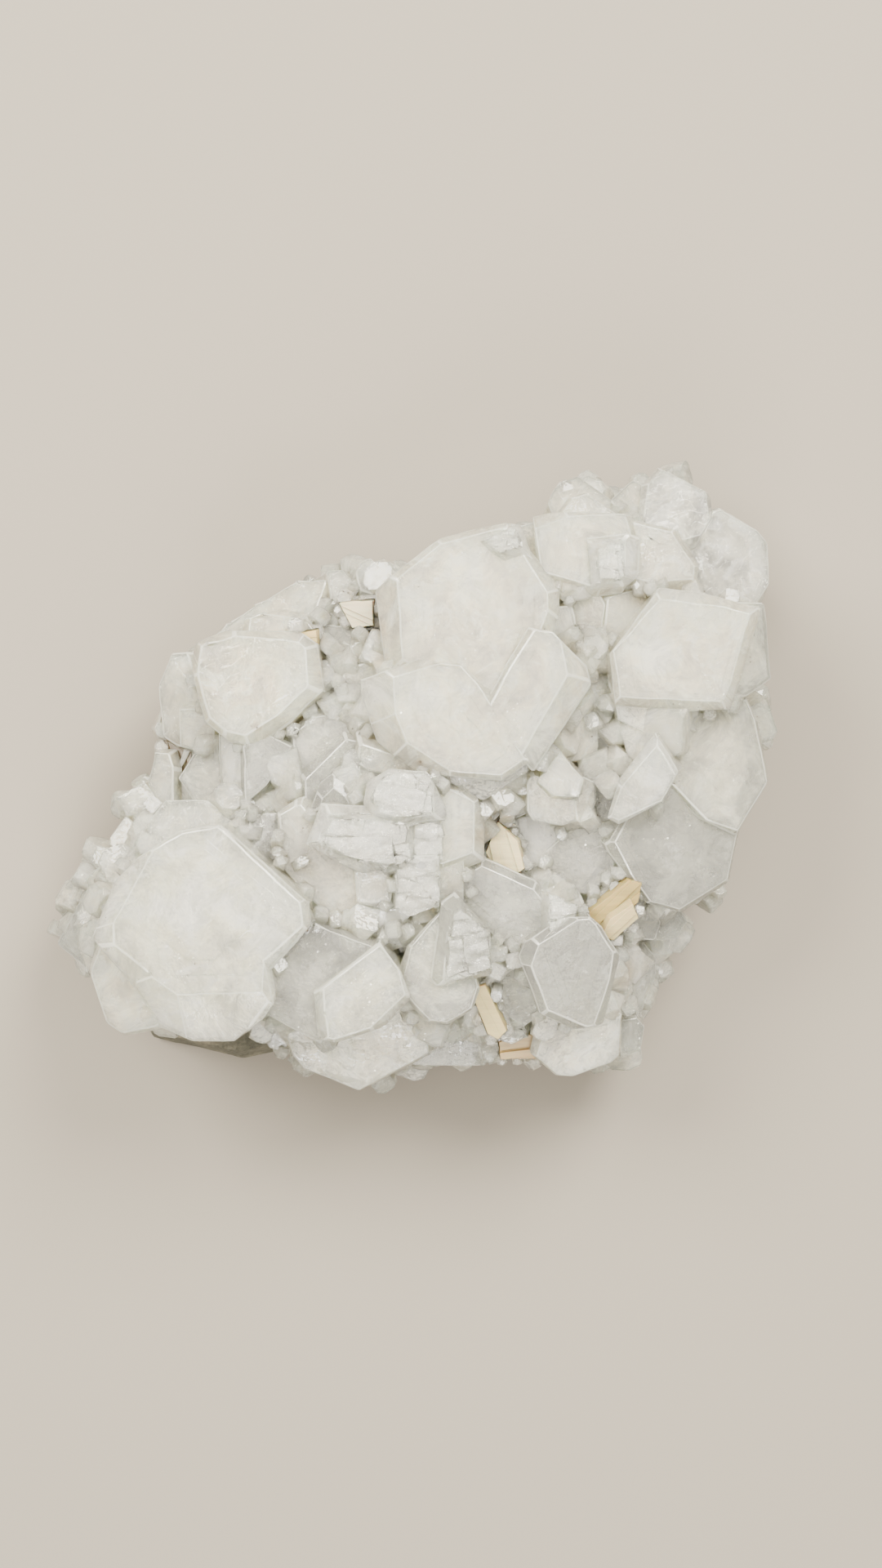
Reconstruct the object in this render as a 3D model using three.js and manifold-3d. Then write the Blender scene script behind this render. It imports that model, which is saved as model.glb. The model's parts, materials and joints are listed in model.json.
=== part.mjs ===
// An apophyllite cluster on a slice of basalt, with stilbite blades in its pockets.
// Millimetres, +Z up. The specimen lies on its rock: plan outlines are in x and y, heights in z.
// Every crystal is a convex solid bounded by flat faces: a top face, a ring of bevel faces round
// it and the upright prism faces below them.
import * as THREE from 'three';
import { ConvexGeometry } from 'three/addons/geometries/ConvexGeometry.js';
import { mergeVertices } from 'three/addons/utils/BufferGeometryUtils.js';
import Module from 'manifold-3d';

const wasm = await Module();
wasm.setup();

// ---- driving dimensions ----
const PLAN_HEIGHT = 30;       // height at which the plan outlines are drawn
const DRAW_IN = 1 / 369;      // share by which a face moves to the middle for each mm above that
const FOOT = 14;              // crystals reach down to this height, into the bed of older ones
const LEAN_OUT = 12;          // lean of plain bevel faces, in degrees
const LEAN_BACK = 28;         // lean of the faces that narrow a crystal towards its foot, in degrees
const BED_FOOT = 6;           // lowest height of the bed
const STILBITE_LENGTH = 12;   // length of a stilbite blade
const GAP = 0.3;              // room between two different minerals
const WELD = 0.02;            // corners nearer than this are one corner
const PYRAMID = 60.5;         // lean of the pyramid faces from the long axis, in degrees
const RIM_CRYSTALS = 24;      // number of small crystals under the rim
const RIM_HALF_WIDTH = [3.8, 7];
const RIM_HALF_LENGTH = 5.5;
const RIM_HEIGHT = [11.5, 20.5];
const RIM_RISE = [8, 42];     // how steeply they point up, in degrees

const RAD = Math.PI / 180;

// ---- flat-faced solids ----

// Corner points of the space inside all the planes, each plane { n: outward normal, d: distance }.
function corners(planes) {
  const points = [];
  const across = new THREE.Vector3();
  for (let i = 0; i < planes.length; i++) {
    for (let j = i + 1; j < planes.length; j++) {
      for (let k = j + 1; k < planes.length; k++) {
        const [a, b, c] = [planes[i], planes[j], planes[k]];
        across.crossVectors(b.n, c.n);
        const det = a.n.dot(across);
        if (Math.abs(det) < 1e-6) continue;
        const p = across.clone().multiplyScalar(a.d)
          .addScaledVector(new THREE.Vector3().crossVectors(c.n, a.n), b.d)
          .addScaledVector(new THREE.Vector3().crossVectors(a.n, b.n), c.d)
          .divideScalar(det);
        const inside = planes.every((q) => q.n.dot(p) <= q.d + 1e-6);
        if (inside && !points.some((q) => q.distanceTo(p) < WELD)) points.push(p);
      }
    }
  }
  return points;
}

function toManifold(geometry) {
  const bare = geometry.clone();
  bare.deleteAttribute('normal');
  bare.deleteAttribute('uv');
  const merged = mergeVertices(bare, 1e-5);
  return new wasm.Manifold(new wasm.Mesh({
    numProp: 3,
    vertProperties: new Float32Array(merged.attributes.position.array),
    triVerts: new Uint32Array(merged.index.array),
  }));
}

function fromManifold(solid) {
  const mesh = solid.getMesh();
  const geometry = new THREE.BufferGeometry();
  geometry.setAttribute('position', new THREE.BufferAttribute(mesh.vertProperties, 3));
  geometry.setIndex(new THREE.BufferAttribute(mesh.triVerts, 1));
  geometry.computeVertexNormals();
  return geometry;
}

// Planes of one crystal. outline: x, y pairs of its top face in plan, clockwise seen from above.
// top: height of that face at its middle or, if given, over the point at. lean: rise of the face
// per mm along x and y. flare: how far the bevel faces lean out from upright, in degrees. bevel:
// how wide they are in plan. Both are one value, or one for each edge. girdle: outline of the
// prism faces, where it isn't the top face's widened by the bevel. foot: lowest height. waist:
// depth below the top at which the body narrows again. grow moves every face out.
function crystalPlanes(shape, grow = 0) {
  const { outline, girdle, top, at, lean = [0, 0], foot = FOOT } = shape;
  const { flare = LEAN_OUT, bevel = 0, waist } = shape;
  const draw = 1 - (top - PLAN_HEIGHT) * DRAW_IN;
  const ringOf = (flat) => Array.from({ length: flat.length / 2 },
    (_, i) => new THREE.Vector2(flat[2 * i], flat[2 * i + 1]).multiplyScalar(draw));
  const ring = ringOf(outline);
  const middle = at ? new THREE.Vector2(...at).multiplyScalar(draw)
    : ring.reduce((sum, p) => sum.add(p), new THREE.Vector2()).divideScalar(ring.length);
  const up = new THREE.Vector3(-lean[0], -lean[1], 1).normalize();
  const lift = (p) => new THREE.Vector3(p.x, p.y,
    top + lean[0] * (p.x - middle.x) + lean[1] * (p.y - middle.y));
  const planes = [
    { n: up, d: up.dot(lift(middle)) + grow },
    { n: new THREE.Vector3(0, 0, -1), d: -foot + grow },
  ];
  const side = (points, i, angle, shift, drop) => {
    const start = lift(points[i]);
    const along = lift(points[(i + 1) % points.length]).sub(start).normalize();
    const out = new THREE.Vector3().crossVectors(up, along);
    const n = out.clone().multiplyScalar(Math.cos(angle * RAD)).addScaledVector(up, Math.sin(angle * RAD));
    const on = start.addScaledVector(out, shift).addScaledVector(up, -drop);
    planes.push({ n, d: n.dot(on) + grow });
  };
  const edgeValue = (value, i) => (Array.isArray(value) ? value[i] : value);
  ring.forEach((_, i) => side(ring, i, edgeValue(flare, i), 0, 0));
  const belt = girdle ? ringOf(girdle) : ring;
  belt.forEach((_, i) => {
    const width = girdle ? 0 : edgeValue(bevel, i);
    if (girdle || width > 0) side(belt, i, 0, width, 0);
    if (waist) side(belt, i, -LEAN_BACK, width, waist);
  });
  return planes;
}

function crystal(shape, grow = 0) {
  return toManifold(new ConvexGeometry(corners(crystalPlanes(shape, grow))));
}

// One small prism with a pyramid tip. at: its middle. azimuth and rise: where its long axis points,
// in degrees. turn: its roll about that axis. half: half widths and half length. cut: how deep the
// pyramid faces cut into its corners.
function tip({ at, azimuth, rise, turn, half, cut }) {
  const axis = new THREE.Vector3(0, 0, 1)
    .applyEuler(new THREE.Euler(0, (90 - rise) * RAD, azimuth * RAD, 'ZYX'));
  const across = new THREE.Vector3(0, 1, 0).applyEuler(new THREE.Euler(0, 0, azimuth * RAD))
    .applyAxisAngle(axis, turn * RAD);
  const over = new THREE.Vector3().crossVectors(axis, across);
  const [a, b, c] = half;
  const planes = [];
  const face = (x, y, z, reach) => {
    const n = axis.clone().multiplyScalar(z).addScaledVector(across, x).addScaledVector(over, y);
    planes.push({ n, d: n.dot(at) + reach });
  };
  for (const sign of [-1, 1]) {
    face(sign, 0, 0, a);
    face(0, sign, 0, b);
    face(0, 0, sign, c);
  }
  const slant = Math.sin(PYRAMID * RAD) * Math.SQRT1_2;
  const up = Math.cos(PYRAMID * RAD);
  for (const x of [-slant, slant]) {
    for (const y of [-slant, slant]) face(x, y, up, slant * (a + b) + up * c - cut);
  }
  return toManifold(new ConvexGeometry(corners(planes)));
}

// The point at a share of the way round a closed line of x, y pairs, and the direction outwards.
function onLine(line, share) {
  const points = [];
  for (let i = 0; i < line.length; i += 2) points.push(new THREE.Vector3(line[i], line[i + 1], 0));
  const spans = points.map((p, i) => points[(i + 1) % points.length].clone().sub(p));
  let left = share * spans.reduce((sum, span) => sum + span.length(), 0);
  let i = 0;
  while (left > spans[i].length()) {
    left -= spans[i].length();
    i += 1;
  }
  const along = spans[i].clone().normalize();
  const at = points[i].clone().addScaledVector(along, left);
  return { at, azimuth: Math.atan2(-along.x, along.y) / RAD };
}

// Small crystals spaced evenly along a closed line, pointing outwards and a little up.
function rimCrystals(line, count) {
  // A value between low and high that jumps about from one crystal to the next.
  const spread = ([low, high], i, step) => low + (high - low) * ((i * step) % 1);
  return Array.from({ length: count }, (_, i) => {
    const { at, azimuth } = onLine(line, i / count);
    const width = spread(RIM_HALF_WIDTH, i, 0.414);
    at.z = spread(RIM_HEIGHT, i, 0.618);
    return tip({
      at,
      azimuth: azimuth + spread([-15, 15], i, 0.732),
      rise: spread(RIM_RISE, i, 0.236),
      turn: spread([0, 90], i, 0.55),
      half: [width, width * spread([0.8, 1.1], i, 0.317), RIM_HALF_LENGTH],
      cut: width * spread([0.55, 1.05], i, 0.87),
    });
  });
}

const join = (solids) => solids.reduce((sum, solid) => sum.add(solid));

// ---- where the crystals stand ----

// Crystals of the upper right corner, with pyramid tips on the rim.
const UPPER_RIGHT = [
  { outline: [23.8, 46.6, 24.9, 49.3, 27, 51.1, 29, 51.9, 34, 47.6, 37.1, 44.4, 24.8, 43.8],
    top: 35, lean: [0, -0.55], foot: 12, waist: 9 },
  { outline: [25.1, 44.4, 27.9, 47.9, 29.5, 48.4, 34.9, 44.9, 33.2, 43.1, 26.2, 42.4],
    top: 41, lean: [0, -0.25], bevel: 1.2, flare: 40 },
  { outline: [22.3, 43.5, 26.2, 44.7, 37.1, 44.7, 38.4, 41, 38.4, 35.4, 36.7, 33.2, 30.7, 32.3,
      27.6, 33.2, 23.1, 35.4],
    top: 45, lean: [0.02, -0.03], bevel: 1, flare: 38 },
  { outline: [30.9, 40.5, 36, 41.3, 38.2, 40.5, 38.2, 35.1, 36.5, 33.5, 31.5, 33.2],
    top: 46.6, lean: [0.05, 0.06], bevel: 0.8, flare: 50 },
  { outline: [34, 47.5, 38.4, 51.8, 40.5, 50.5, 41.6, 49.4, 40.2, 43.8, 37.1, 43.1],
    top: 37, lean: [0.1, -0.5], foot: 12, waist: 10 },
  { outline: [40.7, 50.8, 43.1, 53.3, 49.4, 50.1, 50.8, 48.6, 51, 44.9, 48.6, 40.7, 44.4, 39.6,
      39.5, 41.7],
    top: 39.5, lean: [-0.08, -0.42], bevel: 0.8, flare: 35, foot: 11, waist: 10 },
  { outline: [51, 45.1, 54.3, 45.9, 58.1, 43.7, 61, 40.2, 61.6, 38.2, 61.3, 31.9, 60.1, 29.8, 48.6, 30.1,
      46.5, 35.4, 47.9, 41.7],
    top: 38, lean: [-0.32, -0.15], bevel: 0.8, flare: 30, foot: 10, waist: 12 },
  { outline: [38.2, 43.5, 45.8, 41.7, 48.6, 36.8, 48.3, 32.9, 42.4, 32.6, 38.2, 33.2],
    top: 43.5, lean: [-0.08, -0.05], bevel: 1.2, flare: 42 },
  { outline: [33.7, 30.1, 42.6, 32.9, 41, 29.1, 37.7, 23.9, 34, 22.5, 33.2, 26.3],
    top: 42.5, lean: [-0.28, 0.14] },
  { outline: [27.6, 33.2, 32.5, 32.3, 33.7, 29.8, 33.2, 26.3, 30.4, 23.9, 27.9, 26.3],
    top: 43, lean: [0.2, 0.12], bevel: 0.7 },
  { outline: [30.1, 24.5, 33.2, 26.7, 34.3, 22.5, 33.5, 20.6, 31.5, 21.4], top: 41, lean: [0.25, 0.2] },
  { outline: [22.3, 29.8, 27.3, 30.1, 27.9, 26.7, 26.2, 23.9, 22.5, 24.5], top: 43.5, lean: [0.1, 0.15] },
  { outline: [16.1, 42.4, 19.2, 43.4, 22.5, 44.4, 23.7, 35.4, 24.1, 32.9, 19.9, 33.7, 18.1, 38.2],
    top: 42, lean: [0.12, -0.12], bevel: 0.8 },
  { outline: [11.6, 41, 16.1, 43, 18.1, 42.4, 19.2, 38.5, 16.7, 37.7, 13.6, 39.3],
    top: 46.5, lean: [0.05, -0.2], bevel: 0.8, flare: 45 },
];

// The broad crystals of the top and the middle.
const BROAD = [
  { outline: [-2.9, 33.7, 4.9, 39.9, 16.1, 42.7, 24.1, 32.1, 24.1, 29.1, 20.6, 19.3, 14, 12, -1.1, 19.5],
    top: 47, at: [11, 28], lean: [0.03, -0.07], bevel: [1, 1, 1.5, 1.5, 1.5, 1, 1, 3.2], flare: 42 },
  { outline: [-2, 17.5, 2.4, 19.2, 8.7, 18.6, 13.6, 13.3, 19.2, 3.9, 15.3, 1.1, 5.2, 1.8, -0.4, 5.7,
      -2, 10.9],
    top: 50, at: [13, 12], lean: [0.05, 0.05], bevel: [1.2, 1, 0.8, 0.8, 1, 1.5, 3, 5, 6], flare: 50 },
  { outline: [20.3, 24.9, 23.7, 24.4, 26.5, 21.8, 27.4, 17.2, 25.1, 12.7, 19.7, 3.8, 13, 12.2, 14.7, 16.1,
      18.9, 22.5],
    top: 50, at: [13, 12], lean: [0.05, 0.05], bevel: [0.8, 1, 3.5, 3.8, 3.6, 0.6, 0.6, 0.8, 0.8],
    flare: 48 },
  { outline: [5.2, 1.1, 20.6, 4.6, 20.9, 1, 14, -4.1, 11.9, -4.5, 8, -2.1],
    top: 45.5, lean: [0, 0.32], bevel: 0.8 },
  { outline: [35.6, 21.1, 43.3, 30.5, 51.4, 29.8, 59.1, 28.1, 56.7, 21.7, 54.2, 13.3, 45.8, 13,
      36.7, 13.7],
    top: 48, lean: [-0.03, 0.04], bevel: 1.8, flare: 44 },
  { outline: [55.6, 29.5, 60.9, 29.3, 62, 16.9, 57.3, 13.4, 53.5, 13.4, 52.8, 21.4],
    top: 42.5, lean: [-0.5, 0.03], foot: 10, waist: 16 },
  { outline: [34.6, 14.4, 46.1, 13.6, 44.9, 8.4, 42, 7, 38.8, 7.7, 36, 9],
    top: 44.5, lean: [0, 0.35], bevel: 0.8 },
  { outline: [-36.1, 22.8, -32.9, 23.9, -20, 23.5, -17.5, 21.4, -16.8, 15.1, -21.1, 11.3, -26.9, 7.1,
      -30.8, 7.6, -34.4, 10.5, -36.4, 17.2],
    top: 41, lean: [0.12, -0.06], bevel: 1.6, flare: 40 },
  { outline: [-32.6, 25.3, -28, 29.1, -23.7, 31.9, -19.7, 33.7, -14.6, 34, -15, 30.5, -16.8, 24.8,
      -20, 23.4],
    top: 33.5, lean: [0.12, -0.45], bevel: 0.8, flare: 30, foot: 9, waist: 10 },
  { outline: [-27.7, 26.7, -22.8, 28.1, -18.3, 27.3, -16.5, 24.9, -18.6, 23.1, -24.2, 23.7, -28.1, 24.5],
    top: 37, lean: [0.05, -0.1], bevel: 0.8, flare: 45 },
  { outline: [-43.5, 16.2, -41.2, 20.9, -37.9, 21, -34.3, 10.2, -33.7, 6.7, -36.8, 4.5, -40.3, 5.7,
      -42.6, 7.4, -43.4, 12.5],
    top: 30, lean: [0.4, -0.05], bevel: 0.8, flare: 30, foot: 9, waist: 8 },
  { outline: [-40.2, 11.3, -36, 11.9, -33.7, 8.8, -33.7, 6.7, -36.8, 4.5, -40, 5.5],
    top: 33.5, lean: [0.1, 0.15], bevel: 0.8 },
];

// Small crystals that line the upper left pocket.
const UPPER_LEFT_POCKET = [
  { outline: [-14.3, 35, -10.9, 35.1, -9.7, 33.7, -9.7, 30.4, -13.3, 30.4], top: 33, lean: [0, -0.2] },
  { outline: [-9.4, 35.1, -8.7, 36.8, -7.1, 37.4, -5.2, 35.8, -4.9, 33.7, -6.3, 31.5, -8.7, 32.3],
    top: 33, lean: [0, -0.35] },
  { outline: [-5, 35.7, -3.2, 37, -2, 35.8, -2.9, 33.2, -5, 33.5], top: 31, lean: [0, -0.3] },
  { outline: [-16.1, 24.8, -14.1, 25.8, -9.4, 25.1, -9.2, 21.4, -11.6, 19.9, -15, 20.6],
    top: 35, lean: [0.15, 0.1] },
  { outline: [-9.4, 22.5, -7.7, 23.4, -5.9, 21.7, -5.9, 20.2, -8, 19.7], top: 38, lean: [-0.2, 0.2] },
  { outline: [-17.6, 21.4, -14.4, 20.6, -11.9, 19.2, -12.5, 16.9, -15.8, 16.4, -17.5, 18.6],
    top: 33.5, lean: [0.2, 0.1] },
  { outline: [-11.9, 18.9, -8, 20, -4.6, 19.6, -4.9, 16.1, -8.5, 15.1, -11.6, 16.1],
    top: 39, lean: [0.05, 0.2], bevel: 0.7, flare: 45 },
  { outline: [-12.5, 15, -8.8, 15.4, -5.2, 15.1, -6.6, 13, -9.1, 11.9, -11.9, 13],
    top: 37.5, lean: [0.1, 0.2] },
  { outline: [-16.9, 16.1, -12.5, 15.5, -11.3, 12.7, -14.4, 11.8, -16.9, 13.3],
    top: 34, lean: [-0.1, 0.25] },
  { outline: [-11.1, 12.7, -8, 11.8, -8.3, 9.4, -11.1, 9.7], top: 37, lean: [0.1, 0.2] },
];

// Crystals left of the middle, between the big upper and lower left ones.
const LEFT_MIDDLE = [
  { outline: [-20, 6.7, -16.5, 10.2, -11.3, 11.2, -8, 8.8, -8, 5.3, -9.7, 2.9, -14.1, -0.7, -17.5, -0.3,
      -19.7, 2.9],
    top: 38.5, lean: [0.08, 0.08], bevel: 1.2, flare: 40 },
  { outline: [-32.9, 7.4, -28.3, 6.9, -28.1, -4.5, -30.9, -4.9, -32.6, 1.1], top: 36, lean: [0.4, 0.05] },
  { outline: [-28.3, 6.6, -22.8, 7, -19.2, 5.2, -20.6, 1.5, -23.4, -1.3, -25.9, -3.5, -28, -6.6],
    top: 39, lean: [-0.12, 0.1] },
  { outline: [-36.8, 4.5, -33.7, 6.7, -32.6, 5.7, -31.1, -5.5, -37.7, -4.5, -40.2, -0.4, -37.7, 2.9],
    top: 34, lean: [0.15, 0.05] },
  { outline: [-17.9, -0.3, -10.2, 7.1, -8, 6.6, -8.8, 3.2, -16.4, -5.2, -18.1, -4.3],
    top: 41, lean: [-0.15, 0.2] },
  { outline: [-15.8, -5.2, -15, -3.1, -13.2, -1.7, -10.9, -3.1, -10.1, -4.6, -11.9, -6],
    top: 44.5, lean: [0.15, 0.25], bevel: 1.4, flare: 50 },
  { outline: [-9.2, 6.3, 5.2, 1.4, -4.3, 0.1, -8, 1.1, -9.7, 3.2], top: 44, lean: [0.05, 0.3] },
  { outline: [-22.4, -7.1, -19.7, -5.2, -17.2, -4.5, -8.4, -15.8, -8.5, -22.5, -11.6, -24.4, -15, -23.4,
      -17.4, -20.6, -22.1, -16.4],
    top: 42, lean: [0.03, 0.05], bevel: 1, flare: 36 },
  { outline: [-28, -6.6, -23.9, -6.3, -22.1, -8.3, -22.3, -15, -24.9, -14.1, -27.9, -11.3],
    top: 40, lean: [-0.25, -0.1] },
];

// The stepped, rough-faced group in the very middle.
const MIDDLE = [
  { outline: [-6.7, -1, -3.8, 0.8, 3.2, 0.4, 4.9, -3.1, 4.9, -6.6, -0.4, -7.4, -6, -6.2, -7.1, -3.8],
    top: 49.5, lean: [0.02, -0.06], bevel: 0.9, flare: 45 },
  { outline: [-16.4, -10.9, -14.1, -5.3, -9.9, -5.6, -0.4, -7, -0.1, -13.6, -6.3, -15.7, -9, -15.1],
    top: 48, lean: [0.04, 0.08], bevel: 0.7, flare: 50 },
  { outline: [-0.8, -6.3, 5.2, -6.1, 5.4, -14.5, -0.6, -14.2], top: 46.8, lean: [0.05, 0.1] },
  { outline: [4.8, -2.1, 8, -2, 10.9, -3.8, 11.8, -6.6, 11.6, -13.6, 8.3, -15, 5.2, -14.1],
    top: 46, lean: [-0.1, 0.03], bevel: 1.3, flare: 40 },
  { outline: [-8.8, -15.8, -2.9, -15, -2.7, -22.3, -5.7, -22.8, -8.5, -22.3],
    top: 44.5, lean: [0.06, 0.3] },
  { outline: [-2.9, -14.4, 4.3, -14.1, 4.3, -23.1, 0.3, -24.2, -2.9, -22.3],
    top: 46, lean: [0.03, 0.25], bevel: 0.7 },
  { outline: [4.1, -14.4, 9.8, -13.6, 9.8, -15.3, 8.7, -21, 4.3, -23.4], top: 44.5, lean: [-0.15, 0.22] },
  { outline: [-11.5, -24.6, -8.8, -22.8, -4.1, -22.7, -0.4, -23.9, -1.7, -25.6, -4.6, -25.9, -8.8, -25.5],
    top: 43, lean: [0.05, 0.35] },
];

// The largest crystal, lower left, with the small ones along the rim beside it.
const LOWER_LEFT = [
  { outline: [-49.4, -22, -44.5, -13.6, -38.2, -9.9, -32.3, -9.1, -28.7, -12.2, -19.2, -21.1,
      -18.9, -24.8, -24.6, -31.9, -30, -37, -42, -36, -48, -31.8],
    girdle: [-54.5, -29, -51.2, -19.2, -45.2, -12.7, -38.8, -8.8, -32.3, -8, -28.6, -10.9, -17.8, -20.9,
      -17.4, -24.8, -23.1, -32.1, -30, -40, -47, -38],
    top: 48, at: [-35, -24], lean: [0.06, 0.04], flare: [60, 50, 50, 50, 40, 40, 50, 60, 60, 60, 66],
    foot: 12, waist: 18 },
  { outline: [-46, -27, -26, -27, -25.3, -32.1, -26, -37, -29.5, -38.6, -39.5, -38.2, -45, -34],
    girdle: [-47, -25, -24.5, -25, -23.6, -32.1, -24.2, -39.8, -26.7, -43.5, -30, -45.9, -36.8, -45.9,
      -43.5, -43, -47.5, -36],
    top: 48, at: [-35, -24], lean: [0.06, 0.04], flare: [10, 30, 60, 62, 66, 64, 66], foot: 12,
    waist: 18 },
  { outline: [-55.4, -33.5, -52.5, -26.2, -47.3, -23.4, -41.7, -27.6, -40.2, -39.5, -43.8, -43.1,
      -49.1, -44.4, -53.1, -41.6],
    top: 42.5, lean: [0.3, 0.2], bevel: 0.8, flare: 30, foot: 11, waist: 16 },
  { outline: [-45.5, -8.3, -42.4, -4.3, -34.6, -4.3, -30.9, -6.6, -28.4, -10.8, -44.5, -12.2],
    top: 38, lean: [0.12, -0.08], bevel: 0.8, foot: 9, waist: 16 },
  { outline: [-61.5, -28, -56.6, -19.5, -52.1, -19.2, -53.6, -26.2, -55.4, -32.3],
    top: 27, lean: [0.42, 0], foot: 9 },
  { outline: [-60.6, -26.5, -58.5, -18.5, -57.5, -16.2, -55.9, -15.8, -55.9, -19.5, -58.5, -24.8],
    top: 20, lean: [0.4, 0], foot: 9 },
  { outline: [-56, -16.7, -53.9, -14.7, -51.4, -14.7, -51.1, -17.5, -52.5, -19.5, -55.3, -19.5],
    top: 28, lean: [0.3, -0.1], foot: 10 },
  { outline: [-54.7, -15, -53.8, -12.3, -51.4, -12.6, -51.1, -15.3, -53.9, -15.8],
    top: 24, lean: [0.3, -0.2], foot: 10 },
  { outline: [-51.5, -12.2, -51.4, -9.1, -49.8, -7, -47.7, -7.1, -45.2, -9.4, -45.5, -12.5, -48, -13.3],
    top: 30, lean: [0.25, -0.2], foot: 9 },
  { outline: [-50.4, -4.1, -49.3, -2, -45.9, -0.3, -43, -2.9, -44.4, -6.6, -48, -6.9, -49.8, -5.5],
    top: 30, lean: [0.25, -0.1], bevel: 1.2, foot: 9 },
  { outline: [-45.2, -1.8, -43.8, 2.7, -43.4, 4.5, -42.3, 4.5, -40.5, -0.7, -40.7, -4.5, -43.5, -5.2],
    top: 31.5, lean: [0.25, 0], foot: 10, waist: 10 },
  { outline: [-43.7, 8, -43.1, 9.1, -42, 8.4, -42.1, 6.7, -43.3, 7], top: 27, foot: 16 },
];

// Crystals along the lower edge.
const LOWER_EDGE = [
  { outline: [-22.8, -32.3, -16.9, -25.3, -13, -25.9, -5.3, -28.3, -11.6, -38.8, -14.6, -44.2,
      -15.8, -46.1, -25.1, -41.2],
    top: 44, lean: [0.08, 0.1], bevel: 0.7, foot: 10, waist: 20 },
  { outline: [-15.3, -37.4, -4.9, -29, -2.2, -33.2, -0.8, -37.5, -5.6, -42.3, -12.7, -44.8, -14.4, -44.4],
    top: 46.5, lean: [-0.04, 0.12], bevel: 0.9, flare: 45 },
  { outline: [-21.1, -43.7, -10.2, -40.2, -0.8, -37.7, 1.3, -39.6, 3.2, -42.4, 3.2, -48.3, -7.8, -53.8,
      -11.1, -53.3, -17.2, -51, -20.2, -47.5],
    top: 35, lean: [0.04, 0.4], bevel: 0.7, flare: 30, foot: 10, waist: 12 },
  { outline: [-25.6, -41.6, -22, -42.4, -21.1, -44.7, -22.1, -46.8, -24.8, -45.8],
    top: 24, lean: [0, 0.3], foot: 9 },
  { outline: [-0.4, -44.1, 3.2, -42.3, 8, -42, 11.6, -44.4, 12.2, -48.6, 5.2, -49.4, 0.4, -49.4],
    top: 30, lean: [0, 0.3], foot: 9, waist: 9 },
  { outline: [-1.8, -34.2, 0, -29, 4.5, -23.9, 10.1, -31.8, 11.1, -35.4, 9.9, -39.6, 5.9, -42, 2.7, -41.6,
      0.6, -39.3],
    top: 44, lean: [0.05, 0.12], bevel: 0.8, flare: 35 },
  { outline: [6.3, -22.5, 8.4, -21.1, 14.1, -27.6, 14.1, -33.6, 5.9, -35.7, 4.8, -34.6, 5.5, -29.3],
    top: 47, lean: [-0.1, 0.12], bevel: 0.6, flare: 40 },
  { outline: [9, -19.5, 9.8, -16.4, 12.3, -15, 20.9, -19.2, 23.4, -22, 23.1, -25.6, 19.2, -28.4,
      14.7, -27.6, 10.5, -23.7],
    top: 42, lean: [0, 0.1], bevel: 1.2, flare: 42 },
  { outline: [15, -28.4, 19.9, -28.7, 22.3, -31.8, 23.7, -39.6, 19.5, -42.4, 15.8, -40.2, 14.4, -34.6],
    top: 37.5, lean: [0.1, 0.15], bevel: 0.8 },
  { outline: [15.3, -42.7, 18.6, -42.1, 19.7, -44.1, 17.8, -45.5, 15.5, -44.7], top: 34, lean: [0, 0.3] },
];

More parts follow.
